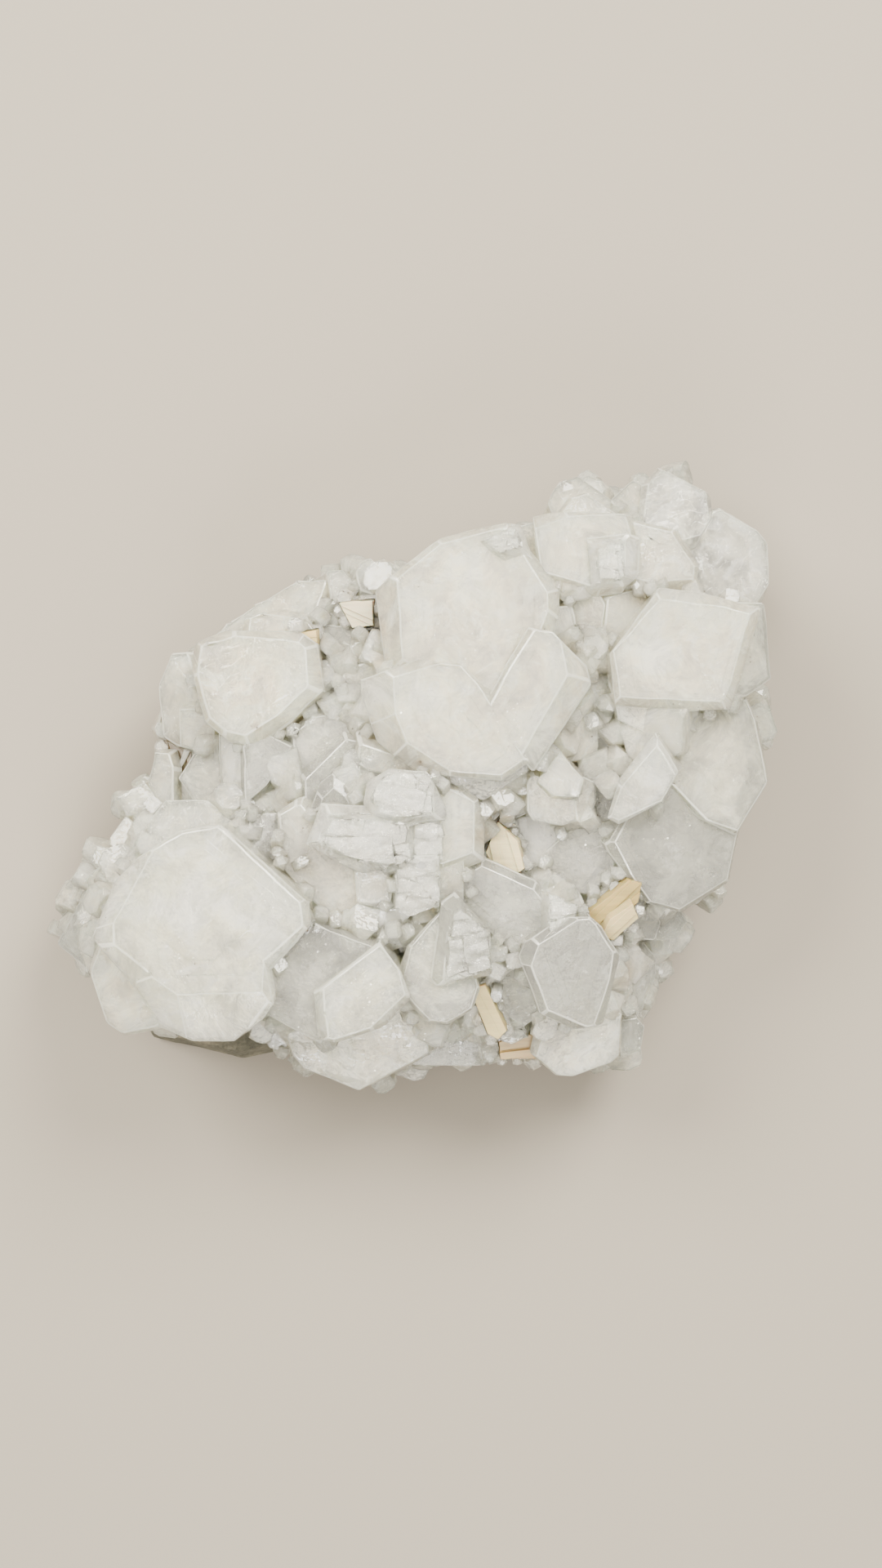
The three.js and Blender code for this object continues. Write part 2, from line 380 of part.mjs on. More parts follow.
// The greyer, clearer crystals of the right side.
const RIGHT = [
  { outline: [21.3, -0.4, 25.8, 5.5, 29.5, 1.1, 28.4, -2.9, 23.7, -2.7],
    top: 45.5, lean: [-0.05, -0.1], bevel: 0.7 },
  { outline: [19.6, -3.1, 21.3, -0.7, 28.4, -3.1, 29.1, -7.3, 26.2, -8.7, 21.3, -8, 19.6, -5.5],
    top: 43.5, lean: [-0.03, 0.3] },
  { outline: [28.3, -2.9, 29.8, 1.3, 31.2, 0.7, 31.4, -5.2, 30, -8.3, 28.8, -7.7],
    top: 42.5, lean: [-0.5, 0] },
  { outline: [34.9, -7, 37.1, -0.3, 42.1, 6.3, 45.2, 1.4, 41.9, -4.3, 36.1, -7.7],
    top: 47, lean: [0.22, 0.08], bevel: 0.8, flare: 50 },
  { outline: [43.7, 3.9, 49.7, 11.2, 57.3, 13.3, 59.5, 8.8, 61.2, -0.7, 55.9, -9, 50, -6.6, 45.1, -1.7],
    top: 40.5, lean: [-0.28, 0.03], bevel: 0.9, flare: 36, foot: 10, waist: 14 },
  { outline: [37.4, -6.6, 42.8, -1.4, 47.9, -1.7, 55.9, -9, 54.5, -17.8, 46.9, -22.8, 41.6, -21.4,
      36.8, -15.3, 34.9, -11.6],
    top: 40, lean: [-0.25, 0.2], bevel: 0.9, flare: 36, foot: 10, waist: 14 },
  { outline: [42.4, -23.7, 46.3, -22, 47.3, -23.9, 45.5, -27.6, 42.4, -27.9],
    top: 29, lean: [-0.2, 0.2], foot: 10 },
  { outline: [40.5, -30.9, 42.7, -30.4, 42.6, -32.9, 41, -34], top: 22, lean: [-0.2, 0.1], foot: 9 },
  { outline: [36.7, -27.9, 39.6, -27.6, 41.9, -30.7, 41.6, -34.6, 39.5, -39.8, 37.1, -40.3, 36.3, -35.3],
    top: 27, lean: [-0.3, 0.1], foot: 9 },
  { outline: [39.2, -18.5, 42, -21.3, 43.1, -24.1, 41.6, -27.9, 38.8, -27.6, 38.2, -22],
    top: 32, lean: [-0.3, 0.1] },
  { outline: [20.3, -31.5, 21.4, -28.6, 24.5, -26.6, 27.6, -24.9, 30.4, -24.8, 33.2, -27.3, 35.3, -30.7,
      34.2, -35.1, 32.8, -42.1, 28.7, -42.7, 23.8, -40.5],
    top: 45.5, lean: [-0.08, 0.08], bevel: 1, flare: 42 },
  { outline: [23.7, -20.2, 26.2, -21.1, 28.4, -22.3, 27.9, -24.8, 23.8, -27.2],
    top: 44.5, lean: [-0.1, -0.1] },
  { outline: [28.1, -22, 30.1, -21.4, 30.8, -24.5, 29.1, -24.9], top: 43, lean: [-0.3, 0.1] },
  { outline: [22.7, -44.1, 27.6, -42.1, 33.2, -40.5, 35.6, -41.3, 35.6, -47.5, 33.9, -49.4, 28.4, -51.7,
      25.6, -51.7, 21.8, -48.2],
    top: 34, lean: [-0.08, 0.38], bevel: 0.8, flare: 30, foot: 10, waist: 11 },
  { outline: [35.3, -41, 37.4, -40.7, 39.6, -43.3, 38.9, -47.2, 35.6, -48.3],
    top: 26, lean: [-0.2, 0.2], foot: 9 },
  { outline: [22.4, -12.9, 27.6, -8.5, 33.2, -8.5, 35, -12.2, 34.6, -17.1, 30.4, -20, 26.2, -19.5,
      22.8, -16.7],
    top: 38, lean: [0.1, 0.12], bevel: 1 },
  { outline: [30.9, 0.4, 35.3, 0.4, 37.1, -0.3, 35.1, -7, 33.7, -9.4, 30.7, -8.5],
    top: 38.5, lean: [0.2, 0.05] },
  { outline: [13.6, -8, 19.2, -6.6, 26.2, -8.7, 22.7, -18.5, 17.8, -19.5, 13, -15],
    top: 37, lean: [0.05, 0.05], bevel: 0.8 },
  { outline: [25.3, 22.8, 27.6, 24.9, 30.7, 23.5, 33.5, 20.6, 34, 18.6, 29.3, 18.3, 27, 20.6],
    top: 38, lean: [-0.1, 0.25] },
  { outline: [29.5, 17.8, 33.7, 18.1, 34.6, 14.4, 34.9, 12.5, 31.2, 12.2], top: 34, lean: [-0.1, 0.2] },
  { outline: [30.9, 12.7, 35.7, 12.7, 36.3, 10.2, 33.9, 8.5, 30.7, 10.2], top: 37.5, lean: [0, 0.2] },
  { outline: [27.6, 9.5, 30.7, 10.5, 34.3, 8.8, 33.9, 3.9, 30.7, 1.1, 27.9, 5.3],
    top: 39, lean: [0.2, 0.2], bevel: 0.8 },
  { outline: [34.3, 8.1, 40.2, 7.1, 41, 5.7, 37.4, 0.4, 33.7, 0.7, 33.7, 5.3],
    top: 36, lean: [-0.1, 0.1] },
  { outline: [13, -5.2, 15.3, -4.3, 16.4, -6.3, 14.1, -8.3], top: 41, lean: [0, 0.2] },
  { outline: [16.4, -3.8, 19.2, -3.1, 19.9, -6.6, 17.5, -7.4], top: 39, lean: [0, 0.2] },
];

const CRYSTALS = [...UPPER_RIGHT, ...BROAD, ...UPPER_LEFT_POCKET, ...LEFT_MIDDLE, ...MIDDLE, ...LOWER_LEFT,
  ...LOWER_EDGE, ...RIGHT];

// Stilbite blades in the pockets: flat, narrow crystals of another mineral.
const STILBITE = [
  { name: 'stilbite_block_upper_left', color: 0xe0dbd1, top: 38, lean: [0.05, 0.1],
    outline: [-11.9, 29.8, -6.7, 30.1, -6.6, 26.2, -9.9, 25.9] },
  { name: 'stilbite_chip_upper_left', color: 0xe0d3bb, top: 39, lean: [0.1, 0.1],
    outline: [-19.2, 24.6, -16.4, 25, -16.2, 22.7, -18.6, 22.3] },
  { name: 'stilbite_sheaf_left_edge', color: 0x8c7d62, top: 29, lean: [0.2, -0.1],
    outline: [-42.3, 6.2, -36.9, 4.2, -37.9, 2.4, -40.2, -0.4, -41.4, 1.6] },
  { name: 'stilbite_blade_centre', color: 0xe0d9c9, top: 40, lean: [0.15, 0.1],
    outline: [13.2, -13, 15.1, -8, 18.2, -11, 19.3, -15.5, 16.2, -17.8] },
  { name: 'stilbite_blade_yellow', color: 0xcabfa5, top: 40.5, lean: [-0.1, 0.2],
    outline: [30.5, -23.7, 37.7, -17.8, 39.5, -18.4, 38.8, -21.5, 33.4, -26.6] },
  { name: 'stilbite_blade_peach', color: 0xdad0bd, top: 42, lean: [-0.15, 0.3],
    outline: [34.4, -24.4, 38.1, -21.9, 39, -24.3, 35, -27.9, 33, -27.2] },
  { name: 'stilbite_blade_cream_lower', color: 0xd5ccb7, top: 39.5, lean: [0.1, 0.2],
    outline: [10.4, -36.4, 12.6, -35.9, 16.2, -43.6, 15, -44.8, 13.4, -43.9] },
  { name: 'stilbite_blade_peach_lower', color: 0xd4c4ae, top: 31, lean: [0, 0.25],
    outline: [15.6, -48.2, 15.3, -45.5, 19.2, -44.2, 22.4, -44.4, 22, -48.2] },
].map((blade) => ({ flare: 3, foot: blade.top - STILBITE_LENGTH, ...blade }));

// Broad crystals deep inside, which the others grew out of.
const BED = [
  { outline: [-50, -20, -36, -9, -20, -12, -16, -34, -24, -40, -44, -39, -51, -32], top: 26 },
  { outline: [-44, -10, -39, 6, -28, 12, -14, 4, -16, -20, -34, -18], top: 24.5 },
  { outline: [-38, 8, -34, 18, -16, 29, -2, 30, 0, 8, -20, 0], top: 25 },
  { outline: [-4, 30, 6, 35, 20, 38, 26, 20, 20, 4, -4, 6], top: 29 },
  { outline: [20, 38, 28, 45, 42, 46, 54, 38, 55, 20, 36, 14, 22, 20], top: 27 },
  { outline: [34, 20, 54, 20, 54, 0, 48, -14, 34, -16, 26, 0], top: 27 },
  { outline: [-14, 8, 26, 12, 34, -14, 20, -30, -8, -30, -18, -12], top: 31 },
  { outline: [-22, -24, 8, -26, 10, -42, -2, -46, -14, -46, -22, -40], top: 24 },
  { outline: [4, -26, 32, -16, 40, -22, 36, -38, 26, -46, 6, -44], top: 25 },
].map((shape) => ({ flare: 10, foot: BED_FOOT, ...shape }));

// Line just inside the rim, where small crystals point outwards under the overhanging ones.
const RIM = [-53, -28, -44, -38, -26, -39, -20, -43, -8, -48, 10, -43, 28, -44, 33, -38, 39, -24, 50, -16,
  56, 0, 56, 20, 55, 36, 44, 47, 30, 45, 16, 38, 2, 35, -14, 30, -28, 24, -33, 14, -31, 3, -42, -6,
  -49, -16];

// Lumps of the basalt slice, all broken off flat underneath.
const ROCK = [
  { outline: [-44, -18, -30, -10, -14, -20, -18, -44, -30, -47, -44, -43.5, -48, -34],
    top: 10, lean: [0.03, 0.05] },
  { outline: [-38, 2, -32, 13, -16, 12, -14, -12, -34, -22, -42, -12], top: 9.5, lean: [0.05, -0.02] },
  { outline: [-30, 12, -14, 23, 4, 26, 10, 6, -20, 0], top: 10, lean: [0.02, -0.05] },
  { outline: [-2, 24, 20, 33, 36, 37, 40, 16, 16, 2, -6, 6], top: 11, lean: [0.03, -0.03] },
  { outline: [32, 37, 46, 32, 50, 14, 46, -4, 32, -2, 24, 20], top: 9.5, lean: [-0.08, -0.02] },
  { outline: [20, 6, 46, 4, 44, -10, 38, -20, 22, -22, 10, -8], top: 9, lean: [-0.05, 0.02] },
  { outline: [-18, 6, 24, 10, 30, -22, 8, -34, -20, -28, -24, -8], top: 12, lean: [0, 0.02] },
  { outline: [-24, -24, 6, -26, 9, -42, 2, -47, -14, -47, -24, -43], top: 10, lean: [0.02, 0.06] },
  { outline: [2, -20, 32, -18, 34, -32, 30, -42, 18, -47, 2, -46], top: 9, lean: [-0.03, 0.06] },
].map((lump) => ({ flare: 22, bevel: 3, foot: 0, ...lump }));

// ---- the pieces ----

function largest(solid) {
  return solid.decompose().reduce((best, part) => (part.volume() > best.volume() ? part : best));
}

function piece(name, solid, color, roughness) {
  const material = new THREE.MeshStandardMaterial({ color, roughness, metalness: 0 });
  const mesh = new THREE.Mesh(fromManifold(solid), material);
  mesh.name = name;
  return mesh;
}

const rockRoom = join(ROCK.map((lump) => crystal(lump, GAP)));
const stilbiteRoom = join(STILBITE.map((blade) => crystal(blade, GAP)));
const rock = join(ROCK.map((lump) => crystal(lump)));
const grown = join([...BED, ...CRYSTALS].map((shape) => crystal(shape)));
const rimmed = grown.add(join(rimCrystals(RIM, RIM_CRYSTALS)));
const crystals = largest(rimmed.subtract(rockRoom).subtract(stilbiteRoom));

const cluster = new THREE.Group();
cluster.name = 'apophyllite_cluster';
cluster.add(piece('basalt_matrix', rock, 0x55524a, 0.9));
cluster.add(piece('apophyllite_crystals', crystals, 0xdddbd2, 0.15));
// Where two blades cross, the later one in the list lies over the earlier one.
STILBITE.forEach((blade, i) => {
  const later = STILBITE.slice(i + 1).map((over) => crystal(over, GAP));
  const solid = later.reduce((rest, room) => rest.subtract(room), crystal(blade).subtract(rockRoom));
  cluster.add(piece(blade.name, largest(solid), blade.color, 0.4));
});

// The origin is under the middle of the whole specimen.
const box = new THREE.Box3().setFromObject(cluster);
const middle = box.getCenter(new THREE.Vector3());
cluster.position.set(-middle.x, -middle.y, 0);

export default cluster;
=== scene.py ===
"""An apophyllite cluster with stilbite blades, lying on its slice of basalt.

Lengths in the tables are in millimetres, with z up. Every crystal is a convex body between flat
faces. The milky insides, flakes, small crystals, blades and rock are built to fit those bodies.
"""

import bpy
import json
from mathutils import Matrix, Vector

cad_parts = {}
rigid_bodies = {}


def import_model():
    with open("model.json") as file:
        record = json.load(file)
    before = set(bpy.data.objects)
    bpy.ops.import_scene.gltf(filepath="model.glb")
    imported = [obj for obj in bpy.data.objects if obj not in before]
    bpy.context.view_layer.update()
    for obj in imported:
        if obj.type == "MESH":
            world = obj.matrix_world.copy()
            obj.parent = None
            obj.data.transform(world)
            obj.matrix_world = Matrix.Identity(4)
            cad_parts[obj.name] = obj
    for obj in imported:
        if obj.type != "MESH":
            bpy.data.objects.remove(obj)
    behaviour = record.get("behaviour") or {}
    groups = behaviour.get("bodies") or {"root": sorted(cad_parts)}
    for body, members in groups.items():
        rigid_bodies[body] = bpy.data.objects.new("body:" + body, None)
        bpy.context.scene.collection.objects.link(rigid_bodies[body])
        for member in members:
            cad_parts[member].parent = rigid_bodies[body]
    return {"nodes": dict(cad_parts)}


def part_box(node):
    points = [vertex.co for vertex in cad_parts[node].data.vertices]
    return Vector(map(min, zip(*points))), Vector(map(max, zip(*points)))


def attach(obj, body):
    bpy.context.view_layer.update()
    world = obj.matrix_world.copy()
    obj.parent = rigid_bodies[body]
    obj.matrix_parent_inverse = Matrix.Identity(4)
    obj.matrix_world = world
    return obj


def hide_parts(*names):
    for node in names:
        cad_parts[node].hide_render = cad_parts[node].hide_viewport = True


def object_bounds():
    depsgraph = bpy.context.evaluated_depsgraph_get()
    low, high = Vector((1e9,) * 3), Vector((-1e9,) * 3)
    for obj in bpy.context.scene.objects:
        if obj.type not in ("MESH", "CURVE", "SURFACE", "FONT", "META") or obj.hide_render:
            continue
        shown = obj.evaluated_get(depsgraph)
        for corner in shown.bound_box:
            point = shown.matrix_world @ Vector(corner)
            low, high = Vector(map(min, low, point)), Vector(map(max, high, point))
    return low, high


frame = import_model()
CAD_BOX = [list(corner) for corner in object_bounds()]

import itertools
import json
import math
import random

import bmesh
import bpy
import numpy as np
from mathutils import Vector, noise
from mathutils.bvhtree import BVHTree

bl_info = {
    "name": "Apophyllite cluster",
    "version": (1, 0, 0),
    "blender": (4, 5, 0),
    "location": "View3D > Sidebar > Cluster",
    "description": "Builds a cluster of apophyllite crystals with stilbite on a slice of basalt",
    "category": "Add Mesh",
}

MM = 0.001
PLAN_HEIGHT = 30      # height at which the plan outlines are drawn
DRAW_IN = 1 / 369     # share by which a face moves to the middle for each mm above that
FOOT = 14             # crystals reach down to this height
LEAN_OUT = 12         # lean of plain bevel faces, in degrees
LEAN_BACK = 28        # lean of the faces that narrow a crystal towards its foot
BED_FOOT = 6          # lowest height of the bed
STILBITE_LENGTH = 12
PYRAMID = 60.5        # lean of a pyramid face from the long axis, in degrees
GAP = 0.3             # room between two minerals

# ---- where the crystals stand ----

UPPER_RIGHT = [
    dict(outline=[23.8, 46.6, 24.9, 49.3, 27, 51.1, 29, 51.9, 34, 47.6, 37.1, 44.4, 24.8, 43.8], top=35,
         lean=[0, -0.55], foot=12, waist=9),
    dict(outline=[25.1, 44.4, 27.9, 47.9, 29.5, 48.4, 34.9, 44.9, 33.2, 43.1, 26.2, 42.4], top=41,
         lean=[0, -0.25], bevel=1.2, flare=40),
    dict(outline=[22.3, 43.5, 26.2, 44.7, 37.1, 44.7, 38.4, 41, 38.4, 35.4, 36.7, 33.2, 30.7, 32.3,
                  27.6, 33.2, 23.1, 35.4], top=45, lean=[0.02, -0.03], bevel=1, flare=38, tone="milk"),
    dict(outline=[30.9, 40.5, 36, 41.3, 38.2, 40.5, 38.2, 35.1, 36.5, 33.5, 31.5, 33.2], top=46.6,
         lean=[0.05, 0.06], bevel=0.8, flare=50, tone="bright", frosted=True),
    dict(outline=[34, 47.5, 38.4, 51.8, 40.5, 50.5, 41.6, 49.4, 40.2, 43.8, 37.1, 43.1], top=37,
         lean=[0.1, -0.5], foot=12, waist=10),
    dict(outline=[40.7, 50.8, 43.1, 53.3, 49.4, 50.1, 50.8, 48.6, 51, 44.9, 48.6, 40.7, 44.4, 39.6,
                  39.5, 41.7], top=39.5, lean=[-0.08, -0.42], bevel=0.8, flare=35, foot=11, waist=10,
         tone="white"),
    # The face of this crystal tilts away from the lamps; its dense white milk is partly painted light that
    # brightens it.
    dict(outline=[51, 45.1, 54.3, 45.9, 58.1, 43.7, 61, 40.2, 61.6, 38.2, 61.3, 31.9, 60.1, 29.8,
                  48.6, 30.1, 46.5, 35.4, 47.9, 41.7], top=38, lean=[-0.32, -0.15], bevel=0.8, flare=30,
         foot=10, waist=12, tone="white"),
    dict(outline=[38.2, 43.5, 45.8, 41.7, 48.6, 36.8, 48.3, 32.9, 42.4, 32.6, 38.2, 33.2], top=43.5,
         lean=[-0.08, -0.05], bevel=1.2, flare=42),
    dict(outline=[33.7, 30.1, 42.6, 32.9, 41, 29.1, 37.7, 23.9, 34, 22.5, 33.2, 26.3], top=42.5,
         lean=[-0.28, 0.14]),
    dict(outline=[27.6, 33.2, 32.5, 32.3, 33.7, 29.8, 33.2, 26.3, 30.4, 23.9, 27.9, 26.3], top=43,
         lean=[0.2, 0.12], bevel=0.7, tone="beige"),
    dict(outline=[30.1, 24.5, 33.2, 26.7, 34.3, 22.5, 33.5, 20.6, 31.5, 21.4], top=41,
         lean=[0.25, 0.2], tone="beige"),
    dict(outline=[22.3, 29.8, 27.3, 30.1, 27.9, 26.7, 26.2, 23.9, 22.5, 24.5], top=43.5,
         lean=[0.1, 0.15]),
    dict(outline=[16.1, 42.4, 19.2, 43.4, 22.5, 44.4, 23.7, 35.4, 24.1, 32.9, 19.9, 33.7, 18.1, 38.2],
         top=42, lean=[0.12, -0.12], bevel=0.8, tone="beige"),
    dict(outline=[11.6, 41, 16.1, 43, 18.1, 42.4, 19.2, 38.5, 16.7, 37.7, 13.6, 39.3], top=46.5,
         lean=[0.05, -0.2], bevel=0.8, flare=45, tone="bright", frosted=True),
]

BROAD = [
    dict(outline=[-2.9, 33.7, 4.9, 39.9, 16.1, 42.7, 24.1, 32.1, 24.1, 29.1, 20.6, 19.3, 14, 12,
                  -1.1, 19.5], top=47, at=[11, 28], lean=[0.03, -0.07],
         bevel=[1, 1, 1.5, 1.5, 1.5, 1, 1, 3.2], flare=42, tone="milk"),
    dict(outline=[-2, 17.5, 2.4, 19.2, 8.7, 18.6, 13.6, 13.3, 19.2, 3.9, 15.3, 1.1, 5.2, 1.8, -0.4, 5.7,
                  -2, 10.9], top=50, at=[13, 12], lean=[0.05, 0.05],
         bevel=[1.2, 1, 0.8, 0.8, 1, 1.5, 3, 5, 6], flare=50),
    dict(outline=[20.3, 24.9, 23.7, 24.4, 26.5, 21.8, 27.4, 17.2, 25.1, 12.7, 19.7, 3.8, 13, 12.2,
                  14.7, 16.1, 18.9, 22.5], top=50, at=[13, 12], lean=[0.05, 0.05],
         bevel=[0.8, 1, 3.5, 3.8, 3.6, 0.6, 0.6, 0.8, 0.8], flare=48, tone="milk"),
    dict(outline=[5.2, 1.1, 20.6, 4.6, 20.9, 1, 14, -4.1, 11.9, -4.5, 8, -2.1], top=45.5,
         lean=[0, 0.32], bevel=0.8, tone="soft"),
    dict(outline=[35.6, 21.1, 43.3, 30.5, 51.4, 29.8, 59.1, 28.1, 56.7, 21.7, 54.2, 13.3, 45.8, 13,
                  36.7, 13.7], top=48, lean=[-0.03, 0.04], bevel=1.8, flare=44),
    dict(outline=[55.6, 29.5, 60.9, 29.3, 62, 16.9, 57.3, 13.4, 53.5, 13.4, 52.8, 21.4], top=42.5,
         lean=[-0.5, 0.03], foot=10, waist=16, tone="soft"),
    dict(outline=[34.6, 14.4, 46.1, 13.6, 44.9, 8.4, 42, 7, 38.8, 7.7, 36, 9], top=44.5, lean=[0, 0.35],
         bevel=0.8),
    dict(outline=[-36.1, 22.8, -32.9, 23.9, -20, 23.5, -17.5, 21.4, -16.8, 15.1, -21.1, 11.3,
                  -26.9, 7.1, -30.8, 7.6, -34.4, 10.5, -36.4, 17.2], top=41, lean=[0.12, -0.06],
         bevel=1.6, flare=40, tone="beige"),
    dict(outline=[-32.6, 25.3, -28, 29.1, -23.7, 31.9, -19.7, 33.7, -14.6, 34, -15, 30.5, -16.8, 24.8,
                  -20, 23.4], top=33.5, lean=[0.12, -0.45], bevel=0.8, flare=30, foot=9, waist=10,
         tone="beige"),
    dict(outline=[-27.7, 26.7, -22.8, 28.1, -18.3, 27.3, -16.5, 24.9, -18.6, 23.1, -24.2, 23.7,
                  -28.1, 24.5], top=37, lean=[0.05, -0.1], bevel=0.8, flare=45, tone="beige"),
    dict(outline=[-43.5, 16.2, -41.2, 20.9, -37.9, 21, -34.3, 10.2, -33.7, 6.7, -36.8, 4.5, -40.3, 5.7,
                  -42.6, 7.4, -43.4, 12.5], top=30, lean=[0.4, -0.05], bevel=0.8, flare=30, foot=9,
         waist=8),
    dict(outline=[-40.2, 11.3, -36, 11.9, -33.7, 8.8, -33.7, 6.7, -36.8, 4.5, -40, 5.5], top=33.5,
         lean=[0.1, 0.15], bevel=0.8),
]

UPPER_LEFT_POCKET = [
    dict(outline=[-14.3, 35, -10.9, 35.1, -9.7, 33.7, -9.7, 30.4, -13.3, 30.4], top=33, lean=[0, -0.2],
         tone="bright"),
    dict(outline=[-9.4, 35.1, -8.7, 36.8, -7.1, 37.4, -5.2, 35.8, -4.9, 33.7, -6.3, 31.5, -8.7, 32.3],
         top=33, lean=[0, -0.35], tone="bright"),
    dict(outline=[-5, 35.7, -3.2, 37, -2, 35.8, -2.9, 33.2, -5, 33.5], top=31, lean=[0, -0.3],
         tone="bright"),
    dict(outline=[-16.1, 24.8, -14.1, 25.8, -9.4, 25.1, -9.2, 21.4, -11.6, 19.9, -15, 20.6], top=35,
         lean=[0.15, 0.1], tone="soft"),
    dict(outline=[-9.4, 22.5, -7.7, 23.4, -5.9, 21.7, -5.9, 20.2, -8, 19.7], top=38, lean=[-0.2, 0.2],
         tone="beige"),
    dict(outline=[-17.6, 21.4, -14.4, 20.6, -11.9, 19.2, -12.5, 16.9, -15.8, 16.4, -17.5, 18.6],
         top=33.5, lean=[0.2, 0.1], tone="soft"),
    dict(outline=[-11.9, 18.9, -8, 20, -4.6, 19.6, -4.9, 16.1, -8.5, 15.1, -11.6, 16.1], top=39,
         lean=[0.05, 0.2], bevel=0.7, flare=45, tone="beige"),
    dict(outline=[-12.5, 15, -8.8, 15.4, -5.2, 15.1, -6.6, 13, -9.1, 11.9, -11.9, 13], top=37.5,
         lean=[0.1, 0.2], tone="beige"),
    dict(outline=[-16.9, 16.1, -12.5, 15.5, -11.3, 12.7, -14.4, 11.8, -16.9, 13.3], top=34,
         lean=[-0.1, 0.25], tone="beige"),
    dict(outline=[-11.1, 12.7, -8, 11.8, -8.3, 9.4, -11.1, 9.7], top=37, lean=[0.1, 0.2], tone="beige"),
]

LEFT_MIDDLE = [
    dict(outline=[-20, 6.7, -16.5, 10.2, -11.3, 11.2, -8, 8.8, -8, 5.3, -9.7, 2.9, -14.1, -0.7,
                  -17.5, -0.3, -19.7, 2.9], top=38.5, lean=[0.08, 0.08], bevel=1.2, flare=40,
         tone="soft"),
    dict(outline=[-32.9, 7.4, -28.3, 6.9, -28.1, -4.5, -30.9, -4.9, -32.6, 1.1], top=36,
         lean=[0.4, 0.05], tone="bright"),
    dict(outline=[-28.3, 6.6, -22.8, 7, -19.2, 5.2, -20.6, 1.5, -23.4, -1.3, -25.9, -3.5, -28, -6.6],
         top=39, lean=[-0.12, 0.1], tone="cool"),
    dict(outline=[-36.8, 4.5, -33.7, 6.7, -32.6, 5.7, -31.1, -5.5, -37.7, -4.5, -40.2, -0.4,
                  -37.7, 2.9], top=34, lean=[0.15, 0.05], tone="soft"),
    dict(outline=[-17.9, -0.3, -10.2, 7.1, -8, 6.6, -8.8, 3.2, -16.4, -5.2, -18.1, -4.3], top=41,
         lean=[-0.15, 0.2], tone="cool"),
    dict(outline=[-15.8, -5.2, -15, -3.1, -13.2, -1.7, -10.9, -3.1, -10.1, -4.6, -11.9, -6], top=44.5,
         lean=[0.15, 0.25], bevel=1.4, flare=50, tone="grey"),
    dict(outline=[-9.2, 6.3, 5.2, 1.4, -4.3, 0.1, -8, 1.1, -9.7, 3.2], top=44, lean=[0.05, 0.3]),
    dict(outline=[-22.4, -7.1, -19.7, -5.2, -17.2, -4.5, -8.4, -15.8, -8.5, -22.5, -11.6, -24.4,
                  -15, -23.4, -17.4, -20.6, -22.1, -16.4], top=42, lean=[0.03, 0.05], bevel=1,
         flare=36, tone="milk"),
    dict(outline=[-28, -6.6, -23.9, -6.3, -22.1, -8.3, -22.3, -15, -24.9, -14.1, -27.9, -11.3], top=40,
         lean=[-0.25, -0.1], tone="cool"),
]

MIDDLE = [
    dict(outline=[-6.7, -1, -3.8, 0.8, 3.2, 0.4, 4.9, -3.1, 4.9, -6.6, -0.4, -7.4, -6, -6.2,
                  -7.1, -3.8], top=49.5, lean=[0.02, -0.06], bevel=0.9, flare=45,
         tone="white", frosted=True),
    dict(outline=[-16.4, -10.9, -14.1, -5.3, -9.9, -5.6, -0.4, -7, -0.1, -13.6, -6.3, -15.7, -9, -15.1],
         top=48, lean=[0.04, 0.08], bevel=0.7, flare=50, tone="white", frosted=True),
    dict(outline=[-0.8, -6.3, 5.2, -6.1, 5.4, -14.5, -0.6, -14.2], top=46.8, lean=[0.05, 0.1],
         tone="bright", frosted=True),
    dict(outline=[4.8, -2.1, 8, -2, 10.9, -3.8, 11.8, -6.6, 11.6, -13.6, 8.3, -15, 5.2, -14.1], top=46,
         lean=[-0.1, 0.03], bevel=1.3, flare=40),
    dict(outline=[-8.8, -15.8, -2.9, -15, -2.7, -22.3, -5.7, -22.8, -8.5, -22.3], top=44.5,
         lean=[0.06, 0.3], tone="milk"),
    dict(outline=[-2.9, -14.4, 4.3, -14.1, 4.3, -23.1, 0.3, -24.2, -2.9, -22.3], top=46,
         lean=[0.03, 0.25], bevel=0.7, tone="bright", frosted=True),
    dict(outline=[4.1, -14.4, 9.8, -13.6, 9.8, -15.3, 8.7, -21, 4.3, -23.4], top=44.5,
         lean=[-0.15, 0.22]),
    # This facet's glint milk is a painted highlight, for the glare that it shows.
    dict(outline=[-11.5, -24.6, -8.8, -22.8, -4.1, -22.7, -0.4, -23.9, -1.7, -25.6, -4.6, -25.9,
                  -8.8, -25.5], top=43, lean=[0.05, 0.35], tone="glint"),
]

